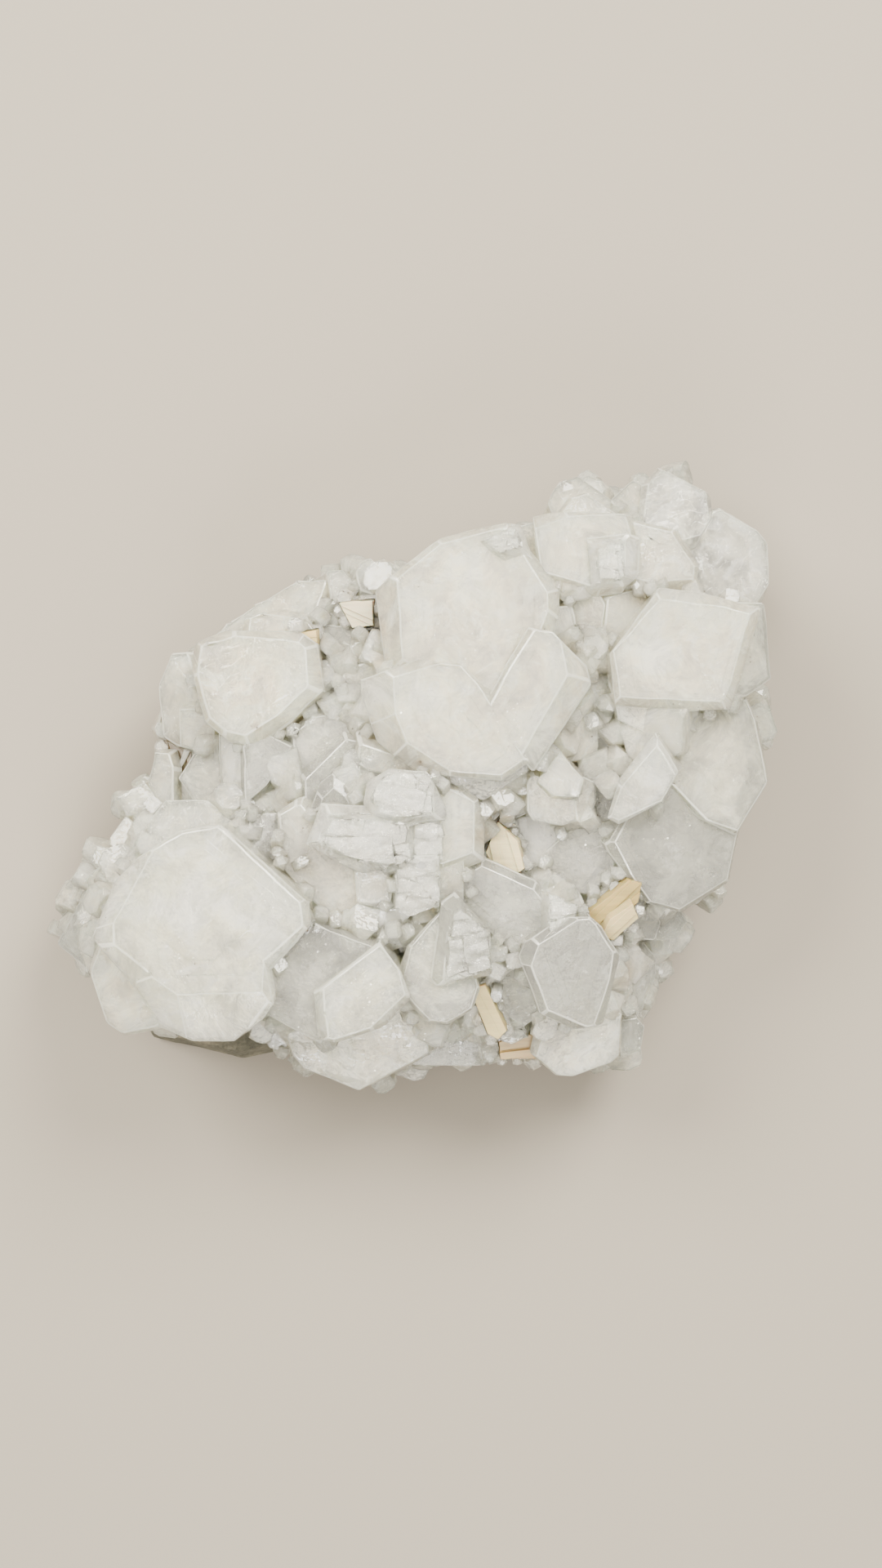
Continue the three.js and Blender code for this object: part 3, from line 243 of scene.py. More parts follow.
LOWER_LEFT = [
    dict(outline=[-49.4, -22, -44.5, -13.6, -38.2, -9.9, -32.3, -9.1, -28.7, -12.2, -19.2, -21.1,
                  -18.9, -24.8, -24.6, -31.9, -30, -37, -42, -36, -48, -31.8],
         girdle=[-54.5, -29, -51.2, -19.2, -45.2, -12.7, -38.8, -8.8, -32.3, -8, -28.6, -10.9,
                  -17.8, -20.9, -17.4, -24.8, -23.1, -32.1, -30, -40, -47, -38], top=48, at=[-35, -24],
         lean=[0.06, 0.04], flare=[60, 50, 50, 50, 40, 40, 50, 60, 60, 60, 66], foot=12, waist=18,
         tone="green"),
    dict(outline=[-46, -27, -26, -27, -25.3, -32.1, -26, -37, -29.5, -38.6, -39.5, -38.2, -45, -34],
         girdle=[-47, -25, -24.5, -25, -23.6, -32.1, -24.2, -39.8, -26.7, -43.5, -30, -45.9,
                  -36.8, -45.9, -43.5, -43, -47.5, -36], top=48, at=[-35, -24], lean=[0.06, 0.04],
         flare=[10, 30, 60, 62, 66, 64, 66], foot=12, waist=18, tone="green"),
    dict(outline=[-55.4, -33.5, -52.5, -26.2, -47.3, -23.4, -41.7, -27.6, -40.2, -39.5, -43.8, -43.1,
                  -49.1, -44.4, -53.1, -41.6], top=42.5, lean=[0.3, 0.2], bevel=0.8, flare=30, foot=11,
         waist=16, tone="milk"),
    dict(outline=[-45.5, -8.3, -42.4, -4.3, -34.6, -4.3, -30.9, -6.6, -28.4, -10.8, -44.5, -12.2],
         top=38, lean=[0.12, -0.08], bevel=0.8, foot=9, waist=16, tone="green"),
    dict(outline=[-61.5, -28, -56.6, -19.5, -52.1, -19.2, -53.6, -26.2, -55.4, -32.3], top=27,
         lean=[0.42, 0], foot=9, tone="cool"),
    dict(outline=[-60.6, -26.5, -58.5, -18.5, -57.5, -16.2, -55.9, -15.8, -55.9, -19.5, -58.5, -24.8],
         top=20, lean=[0.4, 0], foot=9, tone="grey"),
    dict(outline=[-56, -16.7, -53.9, -14.7, -51.4, -14.7, -51.1, -17.5, -52.5, -19.5, -55.3, -19.5],
         top=28, lean=[0.3, -0.1], foot=10, tone="beige"),
    dict(outline=[-54.7, -15, -53.8, -12.3, -51.4, -12.6, -51.1, -15.3, -53.9, -15.8], top=24,
         lean=[0.3, -0.2], foot=10, tone="beige"),
    dict(outline=[-51.5, -12.2, -51.4, -9.1, -49.8, -7, -47.7, -7.1, -45.2, -9.4, -45.5, -12.5,
                  -48, -13.3], top=30, lean=[0.25, -0.2], foot=9, tone="beige"),
    dict(outline=[-50.4, -4.1, -49.3, -2, -45.9, -0.3, -43, -2.9, -44.4, -6.6, -48, -6.9, -49.8, -5.5],
         top=30, lean=[0.25, -0.1], bevel=1.2, foot=9, tone="beige"),
    dict(outline=[-45.2, -1.8, -43.8, 2.7, -43.4, 4.5, -42.3, 4.5, -40.5, -0.7, -40.7, -4.5,
                  -43.5, -5.2], top=31.5, lean=[0.25, 0], foot=10, waist=10),
    dict(outline=[-43.7, 8, -43.1, 9.1, -42, 8.4, -42.1, 6.7, -43.3, 7], top=27, foot=16),
]

LOWER_EDGE = [
    dict(outline=[-22.8, -32.3, -16.9, -25.3, -13, -25.9, -5.3, -28.3, -11.6, -38.8, -14.6, -44.2,
                  -15.8, -46.1, -25.1, -41.2], top=44, lean=[0.08, 0.1], bevel=0.7, foot=10, waist=20,
         tone="cool"),
    dict(outline=[-15.3, -37.4, -4.9, -29, -2.2, -33.2, -0.8, -37.5, -5.6, -42.3, -12.7, -44.8,
                  -14.4, -44.4], top=46.5, lean=[-0.04, 0.12], bevel=0.9, flare=45, tone="green"),
    dict(outline=[-21.1, -43.7, -10.2, -40.2, -0.8, -37.7, 1.3, -39.6, 3.2, -42.4, 3.2, -48.3,
                  -7.8, -53.8, -11.1, -53.3, -17.2, -51, -20.2, -47.5], top=35, lean=[0.04, 0.4],
         bevel=0.7, flare=30, foot=10, waist=12, tone="milk"),
    dict(outline=[-25.6, -41.6, -22, -42.4, -21.1, -44.7, -22.1, -46.8, -24.8, -45.8], top=24,
         lean=[0, 0.3], foot=9, tone="grey"),
    dict(outline=[-0.4, -44.1, 3.2, -42.3, 8, -42, 11.6, -44.4, 12.2, -48.6, 5.2, -49.4, 0.4, -49.4],
         top=30, lean=[0, 0.3], foot=9, waist=9, tone="cool"),
    dict(outline=[-1.8, -34.2, 0, -29, 4.5, -23.9, 10.1, -31.8, 11.1, -35.4, 9.9, -39.6, 5.9, -42,
                  2.7, -41.6, 0.6, -39.3], top=44, lean=[0.05, 0.12], bevel=0.8, flare=35, tone="soft"),
    dict(outline=[6.3, -22.5, 8.4, -21.1, 14.1, -27.6, 14.1, -33.6, 5.9, -35.7, 4.8, -34.6, 5.5, -29.3],
         top=47, lean=[-0.1, 0.12], bevel=0.6, flare=40, tone="cool", frosted=True),
    dict(outline=[9, -19.5, 9.8, -16.4, 12.3, -15, 20.9, -19.2, 23.4, -22, 23.1, -25.6, 19.2, -28.4,
                  14.7, -27.6, 10.5, -23.7], top=42, lean=[0, 0.1], bevel=1.2, flare=42, tone="cool"),
    dict(outline=[15, -28.4, 19.9, -28.7, 22.3, -31.8, 23.7, -39.6, 19.5, -42.4, 15.8, -40.2,
                  14.4, -34.6], top=37.5, lean=[0.1, 0.15], bevel=0.8, tone="grey"),
    dict(outline=[15.3, -42.7, 18.6, -42.1, 19.7, -44.1, 17.8, -45.5, 15.5, -44.7], top=34,
         lean=[0, 0.3], tone="beige"),
]

RIGHT = [
    dict(outline=[21.3, -0.4, 25.8, 5.5, 29.5, 1.1, 28.4, -2.9, 23.7, -2.7], top=45.5,
         lean=[-0.05, -0.1], bevel=0.7),
    dict(outline=[19.6, -3.1, 21.3, -0.7, 28.4, -3.1, 29.1, -7.3, 26.2, -8.7, 21.3, -8, 19.6, -5.5],
         top=43.5, lean=[-0.03, 0.3]),
    dict(outline=[28.3, -2.9, 29.8, 1.3, 31.2, 0.7, 31.4, -5.2, 30, -8.3, 28.8, -7.7], top=42.5,
         lean=[-0.5, 0]),
    dict(outline=[34.9, -7, 37.1, -0.3, 42.1, 6.3, 45.2, 1.4, 41.9, -4.3, 36.1, -7.7], top=47,
         lean=[0.22, 0.08], bevel=0.8, flare=50, tone="bright"),
    dict(outline=[43.7, 3.9, 49.7, 11.2, 57.3, 13.3, 59.5, 8.8, 61.2, -0.7, 55.9, -9, 50, -6.6,
                  45.1, -1.7], top=40.5, lean=[-0.28, 0.03], bevel=0.9, flare=36, foot=10, waist=14,
         tone="soft"),
    dict(outline=[37.4, -6.6, 42.8, -1.4, 47.9, -1.7, 55.9, -9, 54.5, -17.8, 46.9, -22.8, 41.6, -21.4,
                  36.8, -15.3, 34.9, -11.6], top=40, lean=[-0.25, 0.2], bevel=0.9, flare=36, foot=10,
         waist=14, tone="cool"),
    dict(outline=[42.4, -23.7, 46.3, -22, 47.3, -23.9, 45.5, -27.6, 42.4, -27.9], top=29,
         lean=[-0.2, 0.2], foot=10, tone="cool"),
    dict(outline=[40.5, -30.9, 42.7, -30.4, 42.6, -32.9, 41, -34], top=22, lean=[-0.2, 0.1], foot=9,
         tone="cool"),
    dict(outline=[36.7, -27.9, 39.6, -27.6, 41.9, -30.7, 41.6, -34.6, 39.5, -39.8, 37.1, -40.3,
                  36.3, -35.3], top=27, lean=[-0.3, 0.1], foot=9, tone="cool"),
    dict(outline=[39.2, -18.5, 42, -21.3, 43.1, -24.1, 41.6, -27.9, 38.8, -27.6, 38.2, -22], top=32,
         lean=[-0.3, 0.1], tone="cool"),
    dict(outline=[20.3, -31.5, 21.4, -28.6, 24.5, -26.6, 27.6, -24.9, 30.4, -24.8, 33.2, -27.3,
                  35.3, -30.7, 34.2, -35.1, 32.8, -42.1, 28.7, -42.7, 23.8, -40.5], top=45.5,
         lean=[-0.08, 0.08], bevel=1, flare=42, tone="grey"),
    dict(outline=[23.7, -20.2, 26.2, -21.1, 28.4, -22.3, 27.9, -24.8, 23.8, -27.2], top=44.5,
         lean=[-0.1, -0.1], tone="bright", frosted=True),
    dict(outline=[28.1, -22, 30.1, -21.4, 30.8, -24.5, 29.1, -24.9], top=43, lean=[-0.3, 0.1],
         tone="bright", frosted=True),
    dict(outline=[22.7, -44.1, 27.6, -42.1, 33.2, -40.5, 35.6, -41.3, 35.6, -47.5, 33.9, -49.4,
                  28.4, -51.7, 25.6, -51.7, 21.8, -48.2], top=34, lean=[-0.08, 0.38], bevel=0.8,
         flare=30, foot=10, waist=11, tone="milk"),
    dict(outline=[35.3, -41, 37.4, -40.7, 39.6, -43.3, 38.9, -47.2, 35.6, -48.3], top=26,
         lean=[-0.2, 0.2], foot=9, tone="cool"),
    # Its grey milk is partly painted shade, for the shaded clear zone where it stands.
    dict(outline=[22.4, -12.9, 27.6, -8.5, 33.2, -8.5, 35, -12.2, 34.6, -17.1, 30.4, -20, 26.2, -19.5,
                  22.8, -16.7], top=38, lean=[0.1, 0.12], bevel=1, tone="grey"),
    dict(outline=[30.9, 0.4, 35.3, 0.4, 37.1, -0.3, 35.1, -7, 33.7, -9.4, 30.7, -8.5], top=38.5,
         lean=[0.2, 0.05], tone="grey"),
    dict(outline=[13.6, -8, 19.2, -6.6, 26.2, -8.7, 22.7, -18.5, 17.8, -19.5, 13, -15], top=37,
         lean=[0.05, 0.05], bevel=0.8, tone="white"),
    dict(outline=[25.3, 22.8, 27.6, 24.9, 30.7, 23.5, 33.5, 20.6, 34, 18.6, 29.3, 18.3, 27, 20.6],
         top=38, lean=[-0.1, 0.25], tone="cool"),
    dict(outline=[29.5, 17.8, 33.7, 18.1, 34.6, 14.4, 34.9, 12.5, 31.2, 12.2], top=34,
         lean=[-0.1, 0.2], tone="grey"),
    dict(outline=[30.9, 12.7, 35.7, 12.7, 36.3, 10.2, 33.9, 8.5, 30.7, 10.2], top=37.5, lean=[0, 0.2],
         tone="grey"),
    dict(outline=[27.6, 9.5, 30.7, 10.5, 34.3, 8.8, 33.9, 3.9, 30.7, 1.1, 27.9, 5.3], top=39,
         lean=[0.2, 0.2], bevel=0.8, tone="cool"),
    dict(outline=[34.3, 8.1, 40.2, 7.1, 41, 5.7, 37.4, 0.4, 33.7, 0.7, 33.7, 5.3], top=36,
         lean=[-0.1, 0.1], tone="grey"),
    dict(outline=[13, -5.2, 15.3, -4.3, 16.4, -6.3, 14.1, -8.3], top=41, lean=[0, 0.2]),
    dict(outline=[16.4, -3.8, 19.2, -3.1, 19.9, -6.6, 17.5, -7.4], top=39, lean=[0, 0.2]),
]

STILBITE = [
    dict(name="stilbite_block_upper_left", slot="stilbite_pale", color=0xe0dbd1, top=38, lean=[0.05, 0.1],
         outline=[-11.9, 29.8, -6.7, 30.1, -6.6, 26.2, -9.9, 25.9]),
    dict(name="stilbite_chip_upper_left", slot="stilbite_peach", color=0xe0d3bb, top=39, lean=[0.1, 0.1],
         outline=[-19.2, 24.6, -16.4, 25, -16.2, 22.7, -18.6, 22.3]),
    dict(name="stilbite_sheaf_left_edge", slot="stilbite_olive", color=0x8c7d62, top=29, lean=[0.2, -0.1],
         outline=[-42.3, 6.2, -36.9, 4.2, -37.9, 2.4, -40.2, -0.4, -41.4, 1.6]),
    dict(name="stilbite_blade_centre", slot="stilbite_pale", color=0xe0d9c9, top=40, lean=[0.15, 0.1],
         outline=[13.2, -13, 15.1, -8, 18.2, -11, 19.3, -15.5, 16.2, -17.8]),
    dict(name="stilbite_blade_yellow", slot="stilbite_yellow", color=0xcabfa5, top=40.5, lean=[-0.1, 0.2],
         outline=[30.5, -23.7, 37.7, -17.8, 39.5, -18.4, 38.8, -21.5, 33.4, -26.6]),
    dict(name="stilbite_blade_peach", slot="stilbite_peach", color=0xdad0bd, top=42, lean=[-0.15, 0.3],
         outline=[34.4, -24.4, 38.1, -21.9, 39, -24.3, 35, -27.9, 33, -27.2]),
    dict(name="stilbite_blade_cream_lower", slot="stilbite_yellow", color=0xd5ccb7, top=39.5,
         lean=[0.1, 0.2], outline=[10.4, -36.4, 12.6, -35.9, 16.2, -43.6, 15, -44.8, 13.4, -43.9]),
    dict(name="stilbite_blade_peach_lower", slot="stilbite_peach", color=0xd4c4ae, top=31, lean=[0, 0.25],
         outline=[15.6, -48.2, 15.3, -45.5, 19.2, -44.2, 22.4, -44.4, 22, -48.2]),
]

BED = [
    dict(outline=[-50, -20, -36, -9, -20, -12, -16, -34, -24, -40, -44, -39, -51, -32], top=26),
    dict(outline=[-44, -10, -39, 6, -28, 12, -14, 4, -16, -20, -34, -18], top=24.5),
    dict(outline=[-38, 8, -34, 18, -16, 29, -2, 30, 0, 8, -20, 0], top=25),
    dict(outline=[-4, 30, 6, 35, 20, 38, 26, 20, 20, 4, -4, 6], top=29),
    dict(outline=[20, 38, 28, 45, 42, 46, 54, 38, 55, 20, 36, 14, 22, 20], top=27),
    dict(outline=[34, 20, 54, 20, 54, 0, 48, -14, 34, -16, 26, 0], top=27),
    dict(outline=[-14, 8, 26, 12, 34, -14, 20, -30, -8, -30, -18, -12], top=31),
    dict(outline=[-22, -24, 8, -26, 10, -42, -2, -46, -14, -46, -22, -40], top=24),
    dict(outline=[4, -26, 32, -16, 40, -22, 36, -38, 26, -46, 6, -44], top=25),
]

ROCK = [
    dict(outline=[-44, -18, -30, -10, -14, -20, -18, -44, -30, -47, -44, -43.5, -48, -34], top=10,
         lean=[0.03, 0.05]),
    dict(outline=[-38, 2, -32, 13, -16, 12, -14, -12, -34, -22, -42, -12], top=9.5, lean=[0.05, -0.02]),
    dict(outline=[-30, 12, -14, 23, 4, 26, 10, 6, -20, 0], top=10, lean=[0.02, -0.05]),
    dict(outline=[-2, 24, 20, 33, 36, 37, 40, 16, 16, 2, -6, 6], top=11, lean=[0.03, -0.03]),
    dict(outline=[32, 37, 46, 32, 50, 14, 46, -4, 32, -2, 24, 20], top=9.5, lean=[-0.08, -0.02]),
    dict(outline=[20, 6, 46, 4, 44, -10, 38, -20, 22, -22, 10, -8], top=9, lean=[-0.05, 0.02]),
    dict(outline=[-18, 6, 24, 10, 30, -22, 8, -34, -20, -28, -24, -8], top=12, lean=[0, 0.02]),
    dict(outline=[-24, -24, 6, -26, 9, -42, 2, -47, -14, -47, -24, -43], top=10, lean=[0.02, 0.06]),
    dict(outline=[2, -20, 32, -18, 34, -32, 30, -42, 18, -47, 2, -46], top=9, lean=[-0.03, 0.06]),
]

for shape in BED:
    shape.update(flare=10, foot=BED_FOOT)
for shape in STILBITE:
    shape.update(flare=3, foot=shape["top"] - STILBITE_LENGTH)
for shape in ROCK:
    shape.update(flare=22, bevel=3, foot=0)

CRYSTALS = UPPER_RIGHT + BROAD + UPPER_LEFT_POCKET + LEFT_MIDDLE + MIDDLE + LOWER_LEFT + LOWER_EDGE + RIGHT

# The line that the crystals round the rim stand on, and what they measure.
RIM = [-53, -28, -44, -38, -26, -39, -20, -43, -8, -48, 10, -43, 28, -44, 33, -38, 39, -24, 50, -16,
       56, 0, 56, 20, 55, 36, 44, 47, 30, 45, 16, 38, 2, 35, -14, 30, -28, 24, -33, 14, -31, 3, -42, -6,
       -49, -16]
RIM_CRYSTALS = 24
RIM_HALF_WIDTH = (3.8, 7)
RIM_HALF_LENGTH = 5.5
RIM_HEIGHT = (11.5, 20.5)
RIM_RISE = (8, 42)
RIM_FACING = (-15, 15)       # how far a rim crystal turns from straight out, in degrees
COLLAR = 0.9                 # crystal all round a blade, in mm
COLLAR_SPACING = 2.2         # room for each small crystal round a blade, in mm
BLADE_PROUD = 2.6            # how far a blade stands above its collar, in mm

# Small crystals. Lengths are in mm.
POCKET_TRIES = 7000          # places looked at for pocket crystals
POCKET_RINGS = (2.5, 5.5)    # how far round a place the heights are compared
POCKET_DEPTH = 1.6           # least depth of a pocket
POCKET_WIDTH = (1.1, 3.2)    # half widths of pocket crystals
POCKET_SPACING = 1.3         # least distance between pocket crystals, in half widths
BLADE_ROOM = 0.9             # distance that they keep from a blade, in half widths
SIDE_HEIGHTS = (7, 24)       # where side crystals stand
SIDE_WIDTH = (0.7, 2.3)      # half widths of side crystals
ABOVE = 0.07                 # a height over everything, in metres, from which places are looked up
DOWN = Vector((0, 0, -1))

# Meshes. Lengths are in mm, angles in degrees.
FACE_EDGE = 2.6              # longest edge on the faces
MILK_MESH_EDGE = 2.5         # longest edge in the milk
FINE_EDGE = 0.7              # longest edge where a face is uneven
FROST_RELIEF = 0.8           # how uneven frosted faces are
MILK_RELIEF = 0.4            # how uneven deep milk is, as a share of its depth
SMOOTH_BELOW = 8             # faces that meet at less than this are shaded as one
SMOOTH_BELOW_WORN = 26       # the same next to worn edges
RIM_EDGE = 0.2               # width of the flats along the edges of rim crystals
LATH_EDGE = 0.12             # the same for the laths of a blade
MILK_SKIN = 1.0              # depth of the milk in the bed and the rim crystals
WISP_SKIN = 0.35             # depth of the wisps in them
SMALL_MILK = 0.5             # depth of the milk in small crystals
SMALL_WISP = 0.2             # depth of the wisps in them
SMALL_TONES = ("young", "milk", "young", "thin")
BLADE_MILK_GAP = 0.3         # milk keeps this much more room from other minerals
BLADE_WISP_GAP = 0.15
DEEP_TONE = 1.2              # milk that starts deeper than this lies unevenly

# Blades and rock. Lengths are in mm.
LATH_OVERLAP = 0.2           # how far each lath reaches into the next
LATH_OUT = 5                 # reach of the outermost cuts, past the sides of the blade
BLADE_SHADE = 0.84           # brightness of a blade, as a share of its drawn colour
BLADE_DEEPEN = (4, 4.2, 5.2)    # powers that turn a drawn colour into a finish: red, green, blue
ROCK_UP = (-0.2, 0.28)       # how far upward rock faces sink, as a share of the relief, and most rise
ROCK_SIDE = (0.45, 0.1)      # the same for the sides of the rock
CUT_HEIGHT = 0.6             # rock below this lies flat
DIRT_TRIES = 9000            # places looked at for dirt
DIRT_RING = 2.2              # how far round a place the heights are compared
DIRT_DEPTH = 1.2             # least depth of a crevice that holds dirt

GLASS_IOR = 1.535
GLASS_TINT = (0.84, 0.88, 0.85)
GLASS_DENSITY = 6.0

# Milk by tone: how deep it starts, in mm, its colour, how much lighter and darker its clouds are and
# how dense the wisps above it are.
TONES = {
    "milk": (0.6, (0.94, 0.865, 0.70), 0.5, (0.3, 1.0)),
    "beige": (0.6, (0.94, 0.845, 0.66), 0.45, (0.3, 1.0)),
    "green": (0.8, (0.91, 0.88, 0.73), 0.5, (0.25, 1.0)),
    "bright": (0.6, (0.98, 0.94, 0.83), 0.5, (0.4, 1.0)),
    "white": (0.4, (0.97, 0.935, 0.84), 0.8, (0.25, 1.0)),
    "young": (0.5, (0.95, 0.90, 0.76), 0.5, (0.3, 1.0)),
    "thin": (0.9, (0.84, 0.81, 0.69), 0.5, (0.15, 0.8)),
    "soft": (1.3, (0.84, 0.80, 0.67), 0.5, (0.2, 0.9)),
    "cool": (2.0, (0.46, 0.455, 0.40), 0.5, (0.08, 0.6)),
    # The grey milk is partly painted shade: it darkens the clearest crystals where their shaded inside
    # shows through.
    "grey": (2.6, (0.20, 0.195, 0.16), 0.6, (0.05, 0.4)),
    # glint is a painted highlight: near-white milk just under the face, standing in for the glare of a lamp
    # on the facet.
    "glint": (0.4, (0.99, 0.99, 0.98), 0.05, (0.9, 1.0)),
}
SIDE_CLEAR = (1.3, 2.4)    # how much deeper the milk lies under the side faces, for shallow and deep milk
WISP_DEPTH = 0.3      # how deep the wisps lie, in mm
MILK_EDGE = 1.5       # width of the flats along the edges of the milk
WISP_EDGE = 0.5
PLAY = {"bevel": 0.4, "prism": 0.22, "waist": 0.4}     # how far side faces stand out of true, in mm
PLAY_TILT = 0.05
BED_FILL = [9, 5, 5, 10, 8, 8, 1, 7, 1.5]   # how far small growth fills crevices above the bed, in mm

# Stains in the crevices: x, y, radius in mm and colour.
STAINS = [
    (-14.4, 27.3, 1.3, (0.34, 0.29, 0.13)),
    (-10.2, 30.9, 1.6, (0.50, 0.40, 0.24)),
    (-5.0, 24.5, 2.2, (0.72, 0.60, 0.40)),
    (-5.4, 19.5, 2.0, (0.72, 0.60, 0.40)),
    (12.4, -9.6, 2.4, (0.60, 0.48, 0.30)),
    (13.0, -14.6, 2.2, (0.62, 0.50, 0.32)),
    (14.6, -6.6, 2.4, (0.55, 0.48, 0.34)),
    (-40.6, 5.4, 3.4, (0.42, 0.36, 0.22)),
    (-25.6, 8.5, 1.0, (0.45, 0.34, 0.18)),
    (1.7, 2.5, 0.8, (0.40, 0.30, 0.18)),
    (-16.9, -24.8, 0.9, (0.42, 0.33, 0.20)),
    (26.2, 31.2, 2.6, (0.74, 0.66, 0.52)),
    (36.2, -33.0, 3.0, (0.70, 0.60, 0.46)),
    (-50.5, -41.0, 4.0, (0.74, 0.66, 0.52)),
    (12.0, -40.0, 2.5, (0.66, 0.55, 0.38)),
]

# Dark grains that sit on the faces: x, y and half width in mm.
GRAINS = [(1.5, 31.2, 0.13), (8, 31.2, 0.14), (43.1, 12, 0.16), (42.3, 15.5, 0.12), (-35, -30.4, 0.16),
          (-34.2, -30.9, 0.12), (8.2, -2.4, 0.15), (-16.8, -25.2, 0.3), (-25.4, 8.3, 0.22),
          (-26.4, 8.6, 0.16), (1.8, 2.6, 0.25), (-10.4, 31, 0.22), (-9.6, 30.5, 0.16), (-11.2, 31.2, 0.15),
          (30.2, 6.8, 0.2), (-9.4, 25.4, 0.12), (15.7, -10.8, 0.2)]


# ---- sizes and colours that can be changed ----

def length(name, description, default):
    return bpy.props.FloatProperty(name=name, description=description, default=default * MM, min=0,
                                   precision=5, unit="LENGTH")


def number(name, description, default):
    return bpy.props.IntProperty(name=name, description=description, default=default, min=0)


def colour(name, description, default):
    return bpy.props.FloatVectorProperty(name=name, description=description, default=default, size=3,
                                         min=0, max=1, subtype="COLOR")


class CrystalSettings(bpy.types.PropertyGroup):
    edge_least: length("Least edge flat", "Width of the narrowest worn edges", 0.2)
    edge_most: length("Widest edge flat", "Width of the widest worn edges", 0.55)
    step: length("Growth step", "Height of one growth step on the broad faces", 0.07)
    pocket_crystals: number("Pocket crystals", "How many small crystals stand in the pockets", 240)
    gap_crystals: number("Gap crystals", "How many small crystals stand in the gaps that are left", 60)
    side_crystals: number("Side crystals", "How many small crystals stand round the sides", 260)
    chips: number("Chips", "How many chips are broken out of the edges", 90)
    clear: colour("Clear", "Colour of the clear outer layer", (0.98, 0.965, 0.90))
    frost: colour("Frost", "Colour of frosted faces and edges", (0.97, 0.955, 0.89))


class InsideSettings(bpy.types.PropertyGroup):
    glow: length("Glow", "How far light wanders in the milk", 7.0)
    flakes: number("Flakes", "How many cleavage flakes glint under the faces", 2600)
    veils: number("Veils", "How many healed cracks hang in the clear crystals", 46)
    milk: colour("Milk", "Milk of most crystals", TONES["milk"][1])
    green: colour("Greenish milk", "Milk of the faintly green crystals", TONES["green"][1])
    soft: colour("Thin milk", "Milk of the half clear crystals", TONES["soft"][1])
    beige: colour("Warm milk", "Milk of the warmer crystals", TONES["beige"][1])
    bright: colour("White milk", "Milk of the whitest crystals", TONES["bright"][1])
    cool: colour("Cool milk", "Milk of the bluish crystals", TONES["cool"][1])
    # Partly painted shade: dark milk for the shade seen through the clearest crystals.
    grey: colour("Grey milk", "Milk of the clearer crystals", TONES["grey"][1])
    young: colour("Young milk", "Milk of the small crystals", TONES["young"][1])
    thin: colour("Glassy milk", "Milk of the small, clearer crystals", TONES["thin"][1])
    white: colour("Dense milk", "Milk of the densest crystals", TONES["white"][1])
    # Painted highlight: the glint milk stands in for lamp glare on the brightest facets.
    glint: colour("Glint", "Colour behind the brightest facets", TONES["glint"][1])


class BladeSettings(bpy.types.PropertyGroup):
    lath: length("Lath", "Thickness of one lath of a blade", 0.9)
    fan: bpy.props.FloatProperty(name="Fan", description="How far the laths of a blade spread",
                                 default=math.radians(3), min=0, unit="ROTATION")


class RockSettings(bpy.types.PropertyGroup):
    grain: length("Grain", "Size of the broken surface's mesh", 0.9)
    relief: length("Relief", "How deep the broken surface is", 0.9)
    dark: colour("Dark rock", "Colour of the fresh rock", (0.085, 0.08, 0.058))
    tan: colour("Weathered rock", "Colour of the weathered rock", (0.31, 0.27, 0.19))
    dirt: number("Dirt", "How many grains of dirt lie in the crevices", 150)


def power(name, description, default):
    return bpy.props.FloatProperty(name=name, description=description, default=default, min=0, unit="POWER")


class StageSettings(bpy.types.PropertyGroup):
    key: power("Key light", "Power of the main light, at the upper left", 17)
    fill: power("Fill light", "Power of the light at the upper right", 20)
    front: power("Front light", "Power of the broad light overhead", 8)
    low: power("Low light", "Power of the light at the lower edge", 6)
    accent: power("Accent light", "Power of the small light that makes a glint", 1.2)
    sky: bpy.props.FloatProperty(name="Sky", description="Strength of the light from all round",
                                 default=0.55, min=0)
    view_angle: bpy.props.FloatProperty(name="View angle", description="Widest angle of the camera",
                                        default=math.radians(40), min=0.01, unit="ROTATION")
    floor: colour("Floor", "Colour of the floor", (0.27, 0.24, 0.20))


# ---- flat-faced bodies, in millimetres ----

def unit(vector):
    vector = np.asarray(vector, dtype=float)
    return vector / np.linalg.norm(vector)


def per_edge(value, i):
    return value[i] if isinstance(value, list) else value


